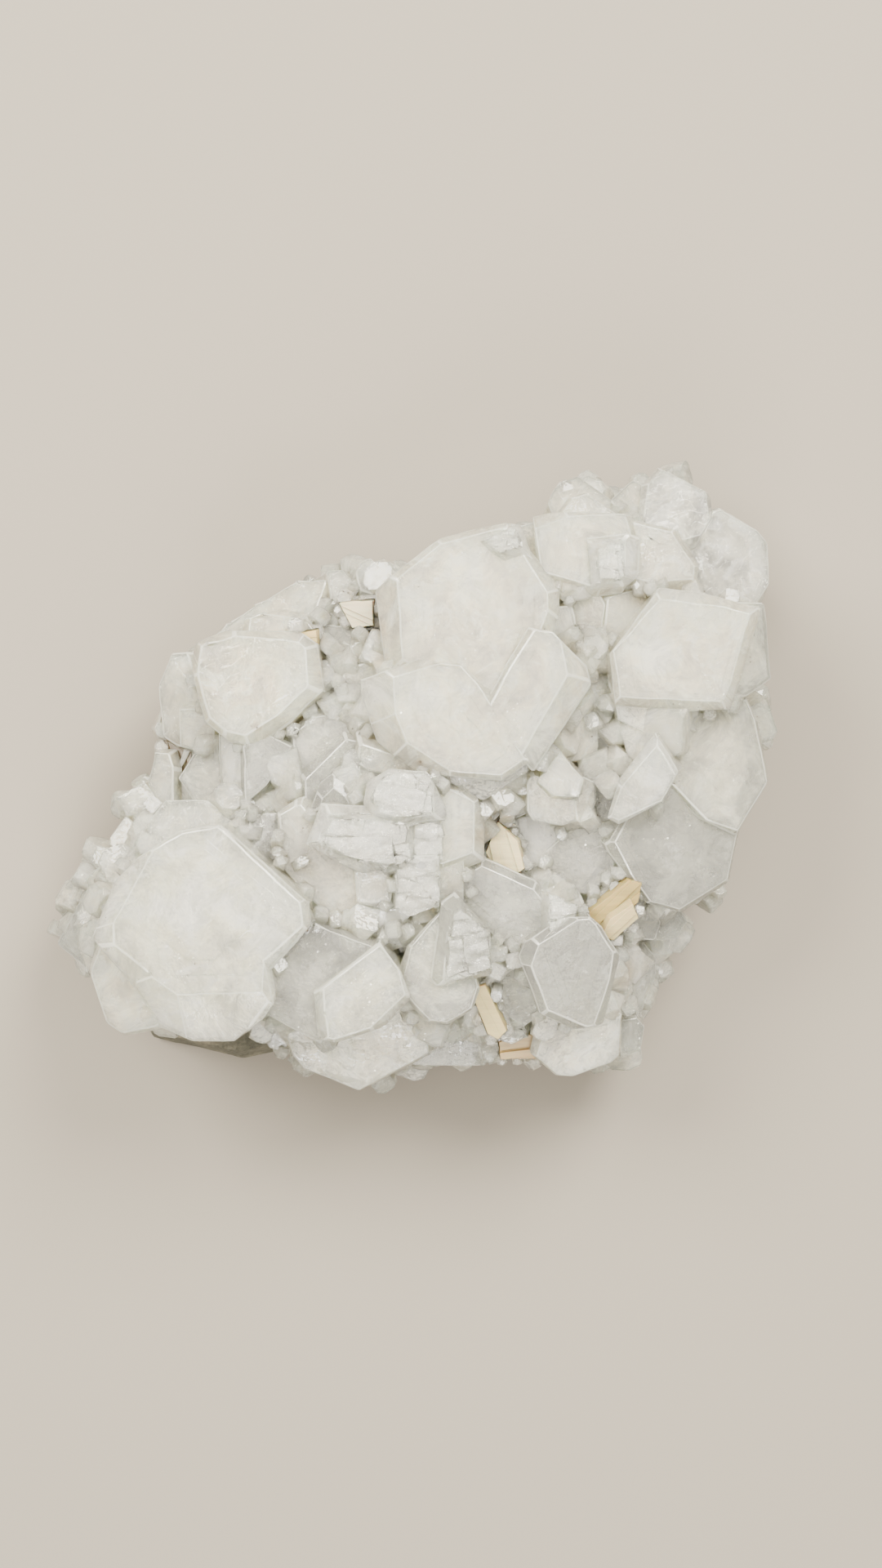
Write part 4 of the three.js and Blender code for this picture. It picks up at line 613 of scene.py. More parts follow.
class Body:
    """A convex body: outward normals, their distances from the origin and what each face is."""

    def __init__(self, normals, distances, kinds):
        self.normals = np.array(normals, dtype=float)
        self.distances = np.array(distances, dtype=float)
        self.kinds = list(kinds)

    def moved(self, by):
        """The same body with each face moved out by its own step, by[its kind] or by."""
        step = [by.get(kind, 0) for kind in self.kinds] if isinstance(by, dict) else by
        return Body(self.normals, self.distances + np.array(step), self.kinds)

    def cut(self, normals, distances, kind):
        return Body([*self.normals, *normals], [*self.distances, *distances],
                    self.kinds + [kind] * len(normals))

    def corners(self):
        n, d = self.normals, self.distances
        i, j, k = np.array(list(itertools.combinations(range(len(d)), 3))).T
        jk = np.cross(n[j], n[k])
        det = np.einsum("ij,ij->i", n[i], jk)
        ok = np.abs(det) > 1e-6
        i, j, k, jk, det = i[ok], j[ok], k[ok], jk[ok], det[ok]
        points = (d[i, None] * jk + d[j, None] * np.cross(n[k], n[i])
                  + d[k, None] * np.cross(n[i], n[j])) / det[:, None]
        points = points[(points @ n.T <= d + 1e-6).all(axis=1)]
        kept = {tuple(key): point for key, point in zip(np.round(points / 0.01).astype(int), points)}
        return np.array(list(kept.values()))

    def softened(self, width):
        """The same body with a narrow flat along each edge."""
        n, d = self.normals, self.distances
        points = self.corners()
        on = np.abs(points @ n.T - d) < 1e-3
        normals, distances = [], []
        for i, j in itertools.combinations(range(len(d)), 2):
            both = points[on[:, i] & on[:, j]]
            if len(both) < 2 or n[i] @ n[j] > 0.985:
                continue
            between = unit(n[i] + n[j])
            share = 0.35 + 1.3 * ((7 * i + 13 * j) * 0.618 % 1)
            depth = 0.5 * width * share * math.tan(0.5 * math.acos(np.clip(n[i] @ n[j], -1, 1)))
            normals.append(between)
            distances.append(between @ both[0] - depth)
        return self.cut(normals, distances, "edge")


def drawn_ring(shape):
    """The outline at the height of the end face."""
    return np.reshape(shape["outline"], (-1, 2)) * (1 - (shape["top"] - PLAN_HEIGHT) * DRAW_IN)


def crystal_body(shape):
    """Outward faces of one crystal of the tables, by the rule that the tables' keys follow."""
    top, lean = shape["top"], shape.get("lean", [0, 0])
    draw = 1 - (top - PLAN_HEIGHT) * DRAW_IN
    ring = np.reshape(shape["outline"], (-1, 2)) * draw
    middle = np.array(shape["at"]) * draw if "at" in shape else ring.mean(axis=0)
    up = unit([-lean[0], -lean[1], 1])

    def lift(p):
        return np.array([p[0], p[1], top + lean[0] * (p[0] - middle[0]) + lean[1] * (p[1] - middle[1])])

    normals = [up, np.array([0, 0, -1])]
    distances = [up @ lift(middle), -shape.get("foot", FOOT)]
    kinds = ["top", "foot"]

    def side(points, i, angle, shift, drop, kind):
        start = lift(points[i])
        out = np.cross(up, unit(lift(points[(i + 1) % len(points)]) - start))
        normal = out * math.cos(math.radians(angle)) + up * math.sin(math.radians(angle))
        normals.append(normal)
        distances.append(normal @ (start + out * shift - up * drop))
        kinds.append(kind)

    for i in range(len(ring)):
        side(ring, i, per_edge(shape.get("flare", LEAN_OUT), i), 0, 0, "bevel")
    girdle = "girdle" in shape
    belt = np.reshape(shape["girdle"], (-1, 2)) * draw if girdle else ring
    for i in range(len(belt)):
        width = 0 if girdle else per_edge(shape.get("bevel", 0), i)
        if girdle or width > 0:
            side(belt, i, 0, width, 0, "prism")
        if "waist" in shape:
            side(belt, i, -LEAN_BACK, width, shape["waist"], "waist")
    return Body(normals, distances, kinds)


def grown_bodies():
    """Every big crystal with its side faces a little out of true, as they grow."""
    bodies = []
    for i, shape in enumerate(CRYSTALS):
        rng = random.Random(500 + i)
        body = crystal_body(shape)
        middle = body.corners().mean(axis=0)
        for k, kind in enumerate(body.kinds):
            if kind in PLAY:
                normal = body.normals[k]
                reach = body.distances[k] - normal @ middle
                anchor = middle + normal * (reach + PLAY[kind] * rng.uniform(-1, 1))
                body.normals[k] = unit(normal + [rng.uniform(-PLAY_TILT, PLAY_TILT) for _ in range(3)])
                body.distances[k] = body.normals[k] @ anchor
        bodies.append(body)
    return bodies


def tipped_body(at, axis, across, half, cut):
    """A small square prism with a pyramid at its outer end."""
    over = np.cross(axis, across)
    a, b, long = half
    slant = math.sin(math.radians(PYRAMID)) * math.sqrt(0.5)
    rise = math.cos(math.radians(PYRAMID))
    faces = [(-1, 0, 0, a), (1, 0, 0, a), (0, -1, 0, b), (0, 1, 0, b), (0, 0, -1, long), (0, 0, 1, long)]
    faces += [(x, y, rise, slant * (a + b) + rise * long - cut)
              for x in (-slant, slant) for y in (-slant, slant)]
    normals = [across * x + over * y + axis * z for x, y, z, _ in faces]
    distances = [normal @ np.asarray(at) + face[3] for normal, face in zip(normals, faces)]
    return Body(normals, distances, ["prism"] * 4 + ["foot", "top"] + ["bevel"] * 4)


def turned(axis, turn):
    """A direction square to the axis, turned round it."""
    helper = [0, 0, 1] if abs(axis[2]) < 0.95 else [0, 1, 0]
    across = unit(np.cross(helper, axis))
    return across * math.cos(turn) + np.cross(axis, across) * math.sin(turn)


def rim_bodies():
    """The crystals that lean outwards all round the rim."""
    line = np.reshape(RIM, (-1, 2)).astype(float)
    steps = np.roll(line, -1, axis=0) - line
    lengths = np.linalg.norm(steps, axis=1)
    ends = np.cumsum(lengths)

    def spread(low, high, i, step):
        return low + (high - low) * ((i * step) % 1)

    bodies = []
    for i in range(RIM_CRYSTALS):
        along = ends[-1] * i / RIM_CRYSTALS
        k = int(np.searchsorted(ends, along, side="right"))
        point = line[k] + steps[k] * (along - ends[k] + lengths[k]) / lengths[k]
        azimuth = math.atan2(-steps[k][0], steps[k][1]) + math.radians(spread(*RIM_FACING, i, 0.732))
        rise = math.radians(spread(*RIM_RISE, i, 0.236))
        width = spread(*RIM_HALF_WIDTH, i, 0.414)
        axis = np.array([math.cos(azimuth) * math.cos(rise), math.sin(azimuth) * math.cos(rise),
                         math.sin(rise)])
        half = (width, width * spread(0.8, 1.1, i, 0.317), RIM_HALF_LENGTH)
        bodies.append(tipped_body([*point, spread(*RIM_HEIGHT, i, 0.618)], axis,
                                  turned(axis, math.radians(spread(0, 90, i, 0.55))), half,
                                  width * spread(0.55, 1.05, i, 0.87)))
    return bodies


def bed_bodies():
    """The crystals under everything, and a low collar and small crystals round each blade."""
    bodies = [crystal_body(shape).moved({"top": fill}) for shape, fill in zip(BED, BED_FILL)]
    rng = random.Random(77)
    for shape in STILBITE:
        bodies.append(crystal_body(shape).moved({"top": -BLADE_PROUD, "bevel": COLLAR}))
        ring = drawn_ring(shape)
        middle = ring.mean(axis=0)
        for k in range(len(ring)):
            steps = max(1, round(np.linalg.norm(ring[k] - ring[k - 1]) / COLLAR_SPACING))
            for j in range(steps):
                point = ring[k - 1] + (ring[k] - ring[k - 1]) * (j + rng.uniform(0.2, 0.8)) / steps
                out = unit(point - middle)
                width = rng.uniform(0.7, 1.25)
                axis = unit([out[0] * rng.uniform(-0.1, 0.7), out[1] * rng.uniform(-0.1, 0.7), 1])
                at = [*(point + out * 0.8 * width), shape["top"] - rng.uniform(1.6, 3.6)]
                bodies.append(tipped_body(at, axis, turned(axis, rng.uniform(0, 1.6)),
                                          (width, width * rng.uniform(0.8, 1.2), 1.6 * width),
                                          width * rng.uniform(0.3, 0.9)))
    return bodies


# ---- meshes ----

def plan_shift():
    """Where the plan's own origin lies in the frame, from the box of a blade that nothing cuts."""
    blade = crystal_body(next(b for b in STILBITE if b["name"] == "stilbite_block_upper_left")).corners()
    low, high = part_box("stilbite_block_upper_left")
    middle = (blade.max(axis=0) + blade.min(axis=0)) / 2
    return np.array([(low[0] + high[0]) / 2 / MM - middle[0], (low[1] + high[1]) / 2 / MM - middle[1], 0])


SHIFT = plan_shift()
TOP_FACE, SIDE_FACE, EDGE_FACE, FROSTED_FACE = range(4)


def body_mesh(body, slots=None, slot=0):
    """A closed mesh of a convex body. slots gives the material slot of a kind of face."""
    bm = bmesh.new()
    for point in body.corners():
        bm.verts.new((point + SHIFT) * MM)
    bmesh.ops.convex_hull(bm, input=bm.verts)
    loose = [vert for vert in bm.verts if not vert.link_faces]
    bmesh.ops.delete(bm, geom=loose, context="VERTS")
    for face in bm.faces:
        kind = body.kinds[int(np.argmax(body.normals @ np.array(face.normal)))]
        face.material_index = slots.get(kind, SIDE_FACE) if slots else slot
    mesh = bpy.data.meshes.new("body")
    bm.to_mesh(mesh)
    bm.free()
    return mesh


def new_object(name, mesh, materials=()):
    obj = bpy.data.objects.new(name, mesh)
    bpy.context.scene.collection.objects.link(obj)
    slots = np.empty(len(mesh.polygons), dtype=np.int32)
    mesh.polygons.foreach_get("material_index", slots)
    mesh.materials.clear()
    for material in materials:
        mesh.materials.append(material)
    mesh.polygons.foreach_set("material_index", np.minimum(slots, len(materials) - 1))
    return obj


def combined(name, meshes, operation="UNION", start=None):
    """One mesh made of all the meshes by a boolean. start is the mesh that they are taken from."""
    first = start or meshes[0]
    rest = meshes if start else meshes[1:]
    obj = bpy.data.objects.new(name, first)
    bpy.context.scene.collection.objects.link(obj)
    parts = bpy.data.collections.new(name + "_parts")
    for mesh in rest:
        parts.objects.link(bpy.data.objects.new(mesh.name, mesh))
    modifier = obj.modifiers.new("combine", "BOOLEAN")
    modifier.operation = operation
    modifier.operand_type = "COLLECTION"
    modifier.collection = parts
    modifier.solver = "MANIFOLD"
    result = bpy.data.meshes.new_from_object(obj.evaluated_get(bpy.context.evaluated_depsgraph_get()))
    bpy.data.objects.remove(obj)
    for part in list(parts.objects):
        bpy.data.objects.remove(part)
    bpy.data.collections.remove(parts)
    if not result.polygons:
        raise RuntimeError(f"{name} came out empty")
    return result


def warped(point):
    """The point moved a little, the same way for every piece, as real growth isn't quite flat."""
    broad, fine = noise.noise_vector(point * 230), noise.noise_vector(point * 900)
    return point + broad * 0.16 * MM + fine * 0.045 * MM


def once(items):
    """Each item once, in the order they come, so that every run gives the same mesh."""
    return list(dict.fromkeys(items))


def split_long(bm, edges, longest):
    """Halve the edges, and the pieces that come of them, until none is longer than that."""
    for _ in range(7):
        edges = [edge for edge in edges if edge.is_valid and edge.calc_length() > longest * MM]
        if not edges:
            break
        split = bmesh.ops.subdivide_edges(bm, edges=edges, cuts=1)
        middles = [item for item in split["geom_inner"] if isinstance(item, bmesh.types.BMVert)]
        touched = once(face for vert in middles for face in vert.link_faces if len(face.verts) > 3)
        bmesh.ops.triangulate(bm, faces=touched)
        edges = once(edge for vert in middles for edge in vert.link_edges)


def weathered(mesh, longest, rough=None, worn=None):
    """The mesh with its long edges split, warped, and shaded smooth except at its edges.

    rough gives, by material slot, how unevenly the faces lie, in mm. Round the faces of the slot worn
    the shading runs on over the edges.
    """
    bm = bmesh.new()
    bm.from_mesh(mesh)
    bmesh.ops.triangulate(bm, faces=bm.faces)
    split_long(bm, bm.edges, longest)
    if rough:
        uneven_faces = [face for face in bm.faces if face.material_index in rough]
        split_long(bm, once(edge for face in uneven_faces for edge in face.edges), FINE_EDGE)
    for edge in bm.edges:
        rounded = edge.is_convex and worn in {face.material_index for face in edge.link_faces}
        limit = math.radians(SMOOTH_BELOW_WORN if rounded else SMOOTH_BELOW)
        edge.smooth = len(edge.link_faces) == 2 and edge.calc_face_angle() < limit
    uneven = rough or {}
    moves = []
    for vert in bm.verts:
        depth = max((uneven.get(face.material_index, 0) for face in vert.link_faces), default=0)
        ridge = noise.turbulence(vert.co * Vector((260, 560, 260)), 3, False) if depth else 0
        moves.append(warped(vert.co) + vert.normal * depth * (0.35 - ridge) * MM)
    for vert, move in zip(bm.verts, moves):
        vert.co = move
    for face in bm.faces:
        face.smooth = True
    bm.to_mesh(mesh)
    bm.free()
    return mesh


def soup_mesh(name, solids):
    """One mesh of many small closed bodies, each given as its points and faces."""
    points, faces = [], []
    for corners, sides in solids:
        start = len(points)
        points += [tuple(corner) for corner in corners]
        faces += [tuple(start + i for i in side) for side in sides]
    mesh = bpy.data.meshes.new(name)
    mesh.from_pydata(points, [], faces)
    return mesh


def tree_of(mesh):
    return BVHTree.FromPolygons([v.co for v in mesh.vertices], [p.vertices for p in mesh.polygons])


def plate(middle, across, over, out, half, thick):
    """Corners and sides of a small flat plate, in metres."""
    corners = [middle + across * (x * half[0]) + over * (y * half[1]) + out * (z * thick)
               for z in (-1, 1) for x, y in ((-1, -1), (1, -1), (1, 1), (-1, 1))]
    return corners, [(3, 2, 1, 0), (4, 5, 6, 7), (0, 1, 5, 4), (1, 2, 6, 5), (2, 3, 7, 6), (3, 0, 4, 7)]


def grain(middle, size, rng):
    """Corners and sides of a small irregular grain, in metres."""
    sides = [(0, 2, 4), (2, 1, 4), (1, 3, 4), (3, 0, 4), (2, 0, 5), (1, 2, 5), (3, 1, 5), (0, 3, 5)]
    ends = [(1, 0, 0), (-1, 0, 0), (0, 1, 0), (0, -1, 0), (0, 0, 1), (0, 0, -1)]
    return [middle + Vector(end) * size * rng.uniform(0.6, 1.3) for end in ends], sides


# ---- finishes ----

def new_material(name, **values):
    material = bpy.data.materials.new(name)
    material.use_nodes = True
    tree = material.node_tree
    shader = tree.nodes["Principled BSDF"]
    for key, value in values.items():
        shader.inputs[key.replace("_", " ")].default_value = value
    return material, tree, shader


def add_node(tree, kind, links=(), **values):
    """A shader node with its socket values and plain settings, fed from other nodes' outputs."""
    made = tree.nodes.new(kind)
    for key, value in values.items():
        if key in made.inputs:
            made.inputs[key].default_value = value
        else:
            setattr(made, key, value)
    for socket, source in dict(links).items():
        tree.links.new(source, made.inputs[socket])
    return made


def where(tree):
    return add_node(tree, "ShaderNodeTexCoord").outputs["Object"]


def noise_value(tree, scale, detail=3.0, roughness=0.55, stretch=(1, 1, 1), turn=0.0, warp=0.0):
    """A noise from 0 to 1 over the object. scale is the number of waves in a metre."""
    mapping = add_node(tree, "ShaderNodeMapping", {"Vector": where(tree)}, Scale=stretch,
                       Rotation=(0, 0, turn))
    made = add_node(tree, "ShaderNodeTexNoise", {"Vector": mapping.outputs["Vector"]},
                    Scale=scale, Detail=detail, Roughness=roughness, Distortion=warp)
    return made.outputs["Fac"]


def cells(tree, scale):
    made = add_node(tree, "ShaderNodeTexVoronoi", {"Vector": where(tree)}, Scale=scale)
    return made.outputs["Color"]


def ramp(tree, value, stops):
    """The value run through a colour ramp of (place, colour) stops."""
    made = add_node(tree, "ShaderNodeValToRGB", {"Fac": value})
    elements = made.color_ramp.elements
    while len(elements) > 1:
        elements.remove(elements[-1])
    for at, (place, color) in enumerate(stops):
        element = elements[0] if at == 0 else elements.new(place)
        element.position = place
        element.color = (*color, 1)
    return made.outputs["Color"]


def level(tree, value, low, high, to_low=0.0, to_high=1.0):
    made = add_node(tree, "ShaderNodeMapRange", {"Value": value})
    for socket, bound in (("From Min", low), ("From Max", high), ("To Min", to_low), ("To Max", to_high)):
        made.inputs[socket].default_value = bound
    return made.outputs["Result"]


def blended(tree, share, first, second, kind="MIX"):
    """Two colours mixed by a share. Each may be a colour or another node's output."""
    made = add_node(tree, "ShaderNodeMix", data_type="RGBA", blend_type=kind)
    for place, source in ((0, share), (6, first), (7, second)):
        if isinstance(source, bpy.types.NodeSocket):
            tree.links.new(source, made.inputs[place])
        elif place:
            made.inputs[place].default_value = (*source, 1)
        else:
            made.inputs[place].default_value = source
    return made.outputs[2]


def bump(tree, height, distance, strength=1.0, after=None):
    links = {"Height": height}
    if after is not None:
        links["Normal"] = after
    return add_node(tree, "ShaderNodeBump", links, Strength=strength, Distance=distance).outputs["Normal"]


def spot(tree, x, y, radius):
    """A share that is 1 at a place in the plan and fades to 0 at the radius."""
    flat = add_node(tree, "ShaderNodeVectorMath", {0: where(tree)}, operation="MULTIPLY")
    flat.inputs[1].default_value = (1, 1, 0)
    away = add_node(tree, "ShaderNodeVectorMath", {0: flat.outputs[0]}, operation="DISTANCE")
    away.inputs[1].default_value = ((x + SHIFT[0]) * MM, (y + SHIFT[1]) * MM, 0)
    return level(tree, away.outputs["Value"], 0.35 * radius * MM, radius * MM, 1.0, 0.0)


def absorbing(tree, color, density):
    absorb = add_node(tree, "ShaderNodeVolumeAbsorption", Color=(*color, 1), Density=density)
    tree.links.new(absorb.outputs["Volume"], tree.nodes["Material Output"].inputs["Volume"])


def clear_material(name, color, roughness, through):
    """The clear outer layer, before its bumps: through is the share that light passes."""
    made = new_material(name, Base_Color=(*color, 1), Roughness=roughness, IOR=GLASS_IOR,
                        Transmission_Weight=through)
    absorbing(made[1], GLASS_TINT, GLASS_DENSITY)
    return made


def top_material(color):
    """Flat end faces: smooth, with faint low hills and fine pits."""
    material, tree, shader = clear_material("clear_end_face", color, 0.16, 0.85)
    hills = bump(tree, noise_value(tree, 140, 4, 0.6), 0.0008, 0.5)
    pits = bump(tree, level(tree, noise_value(tree, 1400, 3, 0.7), 0.55, 0.75), 0.00005, 0.6, hills)
    tree.links.new(pits, shader.inputs["Normal"])
    dull = level(tree, noise_value(tree, 260, 5, 0.6), 0.45, 0.65, 0.08, 0.28)
    tree.links.new(dull, shader.inputs["Roughness"])
    return material


def side_material(color):
    """Side faces: striped along the crystal."""
    material, tree, shader = clear_material("clear_side_face", color, 0.1, 0.85)
    stripes = bump(tree, noise_value(tree, 900, 4, 0.6, (1, 1, 0.06)), 0.00012, 0.6)
    hills = bump(tree, noise_value(tree, 160, 2, stretch=(1, 1, 0.3)), 0.0003, 0.4, stripes)
    tree.links.new(hills, shader.inputs["Normal"])
    return material


def edge_material(color):
    """The narrow worn flats along the edges: finely nicked."""
    material, tree, shader = clear_material("worn_edge", color, 0.14, 0.6)
    nicks = noise_value(tree, 1500, 3, 0.7)
    tree.links.new(bump(tree, nicks, 0.00003, 0.5), shader.inputs["Normal"])
    return material


def frosted_material(color):
    """Etched faces and broken places: white and glittering."""
    material, tree, shader = clear_material("frosted_face", color, 0.2, 0.75)
    fine = bump(tree, cells(tree, 1500), 0.0001, 0.8)
    rough = bump(tree, noise_value(tree, 420, 4, 0.6, (0.4, 1.6, 1), warp=0.6), 0.0006, 0.9, fine)
    tree.links.new(rough, shader.inputs["Normal"])
    tree.links.new(level(tree, noise_value(tree, 900, 3), 0.35, 0.65, 0.06, 0.35),
                   shader.inputs["Roughness"])
    return material


def milk_material(tone, color, glow, density):
    """Cloudy white insides with wisps, stained here and there. density thins the clouds to wisps."""
    material, tree, shader = new_material(("wisps_" if density else "milk_") + tone, Roughness=0.6,
                                          Subsurface_Weight=1.0, Subsurface_Scale=glow,
                                          Subsurface_Radius=(1.0, 1.0, 0.95))
    swing = TONES[tone][2]
    shade = tuple((1 - swing) * part for part in color)
    pale = tuple(min(0.99, (1 + 0.5 * swing) * part) for part in color)
    cloud = ramp(tree, noise_value(tree, 110, 6, 0.65, warp=0.5),
                 [(0.36, shade), (0.5, color), (0.62, pale)])
    wisps = noise_value(tree, 170, 6, 0.7, (1, 1, 0.5), warp=1.8)
    clouds = blended(tree, level(tree, wisps, 0.53, 0.6), cloud, pale)
    for x, y, radius, tint in STAINS:
        clouds = blended(tree, spot(tree, x, y, radius), clouds, tint)
    tree.links.new(clouds, shader.inputs["Base Color"])
    if density:
        torn = noise_value(tree, 130, 7, 0.7, (1, 1, 0.6), warp=1.2)
        tree.links.new(level(tree, torn, 0.42, 0.6, *density), shader.inputs["Alpha"])
    return material


def blade_material(name, color, turn):
    """Pearly blades, grained along their length."""
    material, tree, shader = new_material(name + "_finish", Roughness=0.42, Subsurface_Weight=0.35,
                                          Subsurface_Scale=0.002, Coat_Weight=0.25, Coat_Roughness=0.25)
    fibres = noise_value(tree, 1400, 4, 0.6, (0.08, 1, 0.25), -turn)
    clouds = noise_value(tree, 260, 3)
    dark = tuple(0.80 * part for part in color)
    pale = tuple(min(1, 1.12 * part) for part in color)
    streaks = ramp(tree, fibres, [(0.3, dark), (0.5, color), (0.7, pale)])
    tree.links.new(blended(tree, level(tree, clouds, 0.4, 0.8, 0, 0.6), streaks, pale),
                   shader.inputs["Base Color"])
    tree.links.new(bump(tree, fibres, 0.00015, 0.6), shader.inputs["Normal"])
    return material


def basalt_material(dark, tan):
    material, tree, shader = new_material("basalt_finish", Roughness=0.88)
    coarse = noise_value(tree, 120, 5, 0.6)
    fine = noise_value(tree, 1500, 4, 0.7)
    patches = ramp(tree, coarse, [(0.35, dark), (0.52, tuple(1.6 * part for part in dark)), (0.68, tan)])
    speckle = blended(tree, level(tree, fine, 0.3, 0.7), (0.45, 0.45, 0.45), (1.0, 1.0, 1.0))
    tree.links.new(blended(tree, 1.0, patches, speckle, "MULTIPLY"), shader.inputs["Base Color"])
    tree.links.new(bump(tree, fine, 0.0003, 0.8, bump(tree, coarse, 0.0012, 0.6)), shader.inputs["Normal"])
    return material


def dirt_material():
    material, tree, shader = new_material("dirt_finish", Roughness=0.9)
    tree.links.new(ramp(tree, noise_value(tree, 3000),
                        [(0.35, (0.05, 0.04, 0.03)), (0.65, (0.16, 0.12, 0.08))]),
                   shader.inputs["Base Color"])
    return material


def flake_material():
    material, tree, shader = new_material("flake_finish", Base_Color=(0.98, 0.98, 0.97, 1), Metallic=1.0)
    tree.links.new(level(tree, noise_value(tree, 900), 0.4, 0.6, 0.08, 0.35), shader.inputs["Roughness"])
    return material


def veil_material():
    """Healed cracks: torn white sheets."""
    material, tree, shader = new_material("veil_finish", Base_Color=(0.97, 0.97, 0.96, 1), Roughness=0.3)
    tree.links.new(level(tree, noise_value(tree, 700, 6, 0.75, warp=0.8), 0.48, 0.68, 0.0, 0.75),
                   shader.inputs["Alpha"])
    return material


# ---- pieces ----

def owned(obj, node=None):
    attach(obj, "root")
    if node:
        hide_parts(node)
    return obj


def growth_steps(body, step, rng):
    """Low plates that follow the outline of a broad end face, each set in from the one below."""
    steps, inset = [], np.zeros(len(body.kinds))
    for count in range(1, 3):
        inset = inset - [rng.uniform(0.5, 2.2) if kind in ("bevel", "prism") else 0 for kind in body.kinds]
        raised = body.moved(inset + [step * count if kind == "top" else 0 for kind in body.kinds])
        points = raised.corners()
        if len(points) > 5 and np.ptp(points[:, :2], axis=0).min() > 3:
            steps.append(raised)
    return steps


def terraces(body, rng):
    """Broken, uneven layers on an etched end face."""
    points = body.corners()
    on_top = points[np.abs(points @ body.normals[0] - body.distances[0]) < 1e-3]
    middle, spread = on_top.mean(axis=0), np.ptp(on_top, axis=0)[:2]
    layers = []
    for _ in range(14):
        centre = middle + [rng.uniform(-0.35, 0.35) * spread[0], rng.uniform(-0.4, 0.4) * spread[1], 0]
        turn, raised = rng.uniform(-0.3, 0.3), rng.uniform(0.12, 0.85)
        sides = [np.array([math.cos(turn + a), math.sin(turn + a), 0]) for a in np.arange(4) * math.pi / 2]
        reach = [rng.uniform(0.15, 0.5) * spread[i % 2] * (1 if i % 2 == 0 else 0.5) for i in range(4)]
        layer = body.moved({"top": raised}).cut(sides, [side @ centre + r for side, r in zip(sides, reach)],
                                                "prism")
        if len(layer.corners()) > 5:
            layers.append(layer)
    return layers


def pocket_bodies(mesh, count, rng):
    """Small crystals that stand in the low places between the big ones, the deepest places first."""
    surface = tree_of(mesh)
    rings = [[Vector((math.cos(a), math.sin(a), 0)) * reach * MM for a in np.arange(8) * math.pi / 4]
             for reach in POCKET_RINGS]
    low, high = CAD_BOX
    places = []
    for _ in range(POCKET_TRIES):
        start = Vector((rng.uniform(low[0], high[0]), rng.uniform(low[1], high[1]), ABOVE))
        hit, normal, face, _ = surface.ray_cast(start, DOWN)
        if hit is None or mesh.polygons[face].material_index in (TOP_FACE, FROSTED_FACE):
            continue
        depth = 0
        for ring in rings:
            found = (surface.ray_cast(start + step, DOWN)[0] for step in ring)
            heights = [point.z for point in found if point]
            if len(heights) == len(ring):
                depth = max(depth, (np.mean(heights) - hit.z) / MM)
        if depth > POCKET_DEPTH:
            places.append((depth, tuple(hit), tuple(normal)))
    blades = [(shape["top"] - 2, crystal_body(shape)) for shape in STILBITE]
    bodies, taken = [], []
    for depth, hit, normal in sorted(places, reverse=True):
        width = min(max(0.4 * depth, POCKET_WIDTH[0]), POCKET_WIDTH[1]) * rng.uniform(0.75, 1.15)
        apart = POCKET_SPACING * width * MM
        x, y, _ = np.array(hit) / MM - SHIFT
        if any(np.all(blade.normals @ [x, y, z] < blade.distances + BLADE_ROOM * width)
               for z, blade in blades):
            continue
        if len(bodies) == count or any((Vector(hit) - other).length < apart for other in taken):
            continue
        taken.append(Vector(hit))
        axis = unit(np.array(normal) * 0.4 + [rng.uniform(-0.7, 0.7), rng.uniform(-0.7, 0.7), 1.0])
        half = (width, width * rng.uniform(0.7, 1.3), max(width * rng.uniform(1.3, 2), 0.5 * depth))
        at = np.array(hit) / MM - SHIFT + [0, 0, 0.3 * depth]
        bodies.append(tipped_body(at, axis, turned(axis, rng.uniform(0, 1.6)), half,
                                  width * rng.uniform(0.15, 0.8)))
    return bodies


def side_bodies(mesh, count, rng):
    """Small crystals that cover the sides below the big faces."""
    surface, bodies = tree_of(mesh), []
    while len(bodies) < count:
        angle, height = rng.uniform(0, 2 * math.pi), rng.uniform(*SIDE_HEIGHTS)
        start = Vector((0.1 * math.cos(angle), 0.1 * math.sin(angle), height * MM))
        aim = Vector((rng.uniform(-0.02, 0.02), rng.uniform(-0.02, 0.02), height * MM)) - start
        hit, normal, _, _ = surface.ray_cast(start, aim.normalized())
        if hit is None:
            continue
        axis = unit(np.array(normal)
                    + [rng.uniform(-0.5, 0.5), rng.uniform(-0.5, 0.5), rng.uniform(-0.2, 0.7)])
        width = rng.uniform(*SIDE_WIDTH)
        half = (width, width * rng.uniform(0.8, 1.2), rng.uniform(0.9, 1.5) * width)
        bodies.append(tipped_body(np.array(hit) / MM - SHIFT, axis, turned(axis, rng.uniform(0, 1.6)), half,
                                  width * rng.uniform(0.1, 0.6)))
    return bodies


def chip_meshes(bodies, count, rng):
    """Small rounded bites along the upper edges."""
    meshes = []
    while len(meshes) < count:
        body = rng.choice(bodies)
        points = body.corners()
        on_top = points[np.abs(points @ body.normals[0] - body.distances[0]) < 1e-3]
        if len(on_top) < 3:
            continue
        middle = on_top.mean(axis=0)
        order = sorted(on_top, key=lambda p: math.atan2(p[1] - middle[1], p[0] - middle[0]))
        k = rng.randrange(len(order))
        share = rng.random()
        point = order[k] * share + order[(k + 1) % len(order)] * (1 - share)
        radius = rng.uniform(0.35, 0.95)
        away = unit(point - middle) * radius * rng.uniform(0.3, 0.8)
        centre = point + away + body.normals[0] * radius * 0.5
        bm = bmesh.new()
        bmesh.ops.create_icosphere(bm, subdivisions=2, radius=radius)
        for vert in bm.verts:
            vert.co = (Vector(centre + SHIFT) + vert.co * rng.uniform(0.88, 1.12)) * MM
        for face in bm.faces:
            face.material_index = FROSTED_FACE
        mesh = bpy.data.meshes.new("chip")
        bm.to_mesh(mesh)
        bm.free()
        meshes.append(mesh)
    return meshes


SMALL = []      # small crystals that the milk fills too


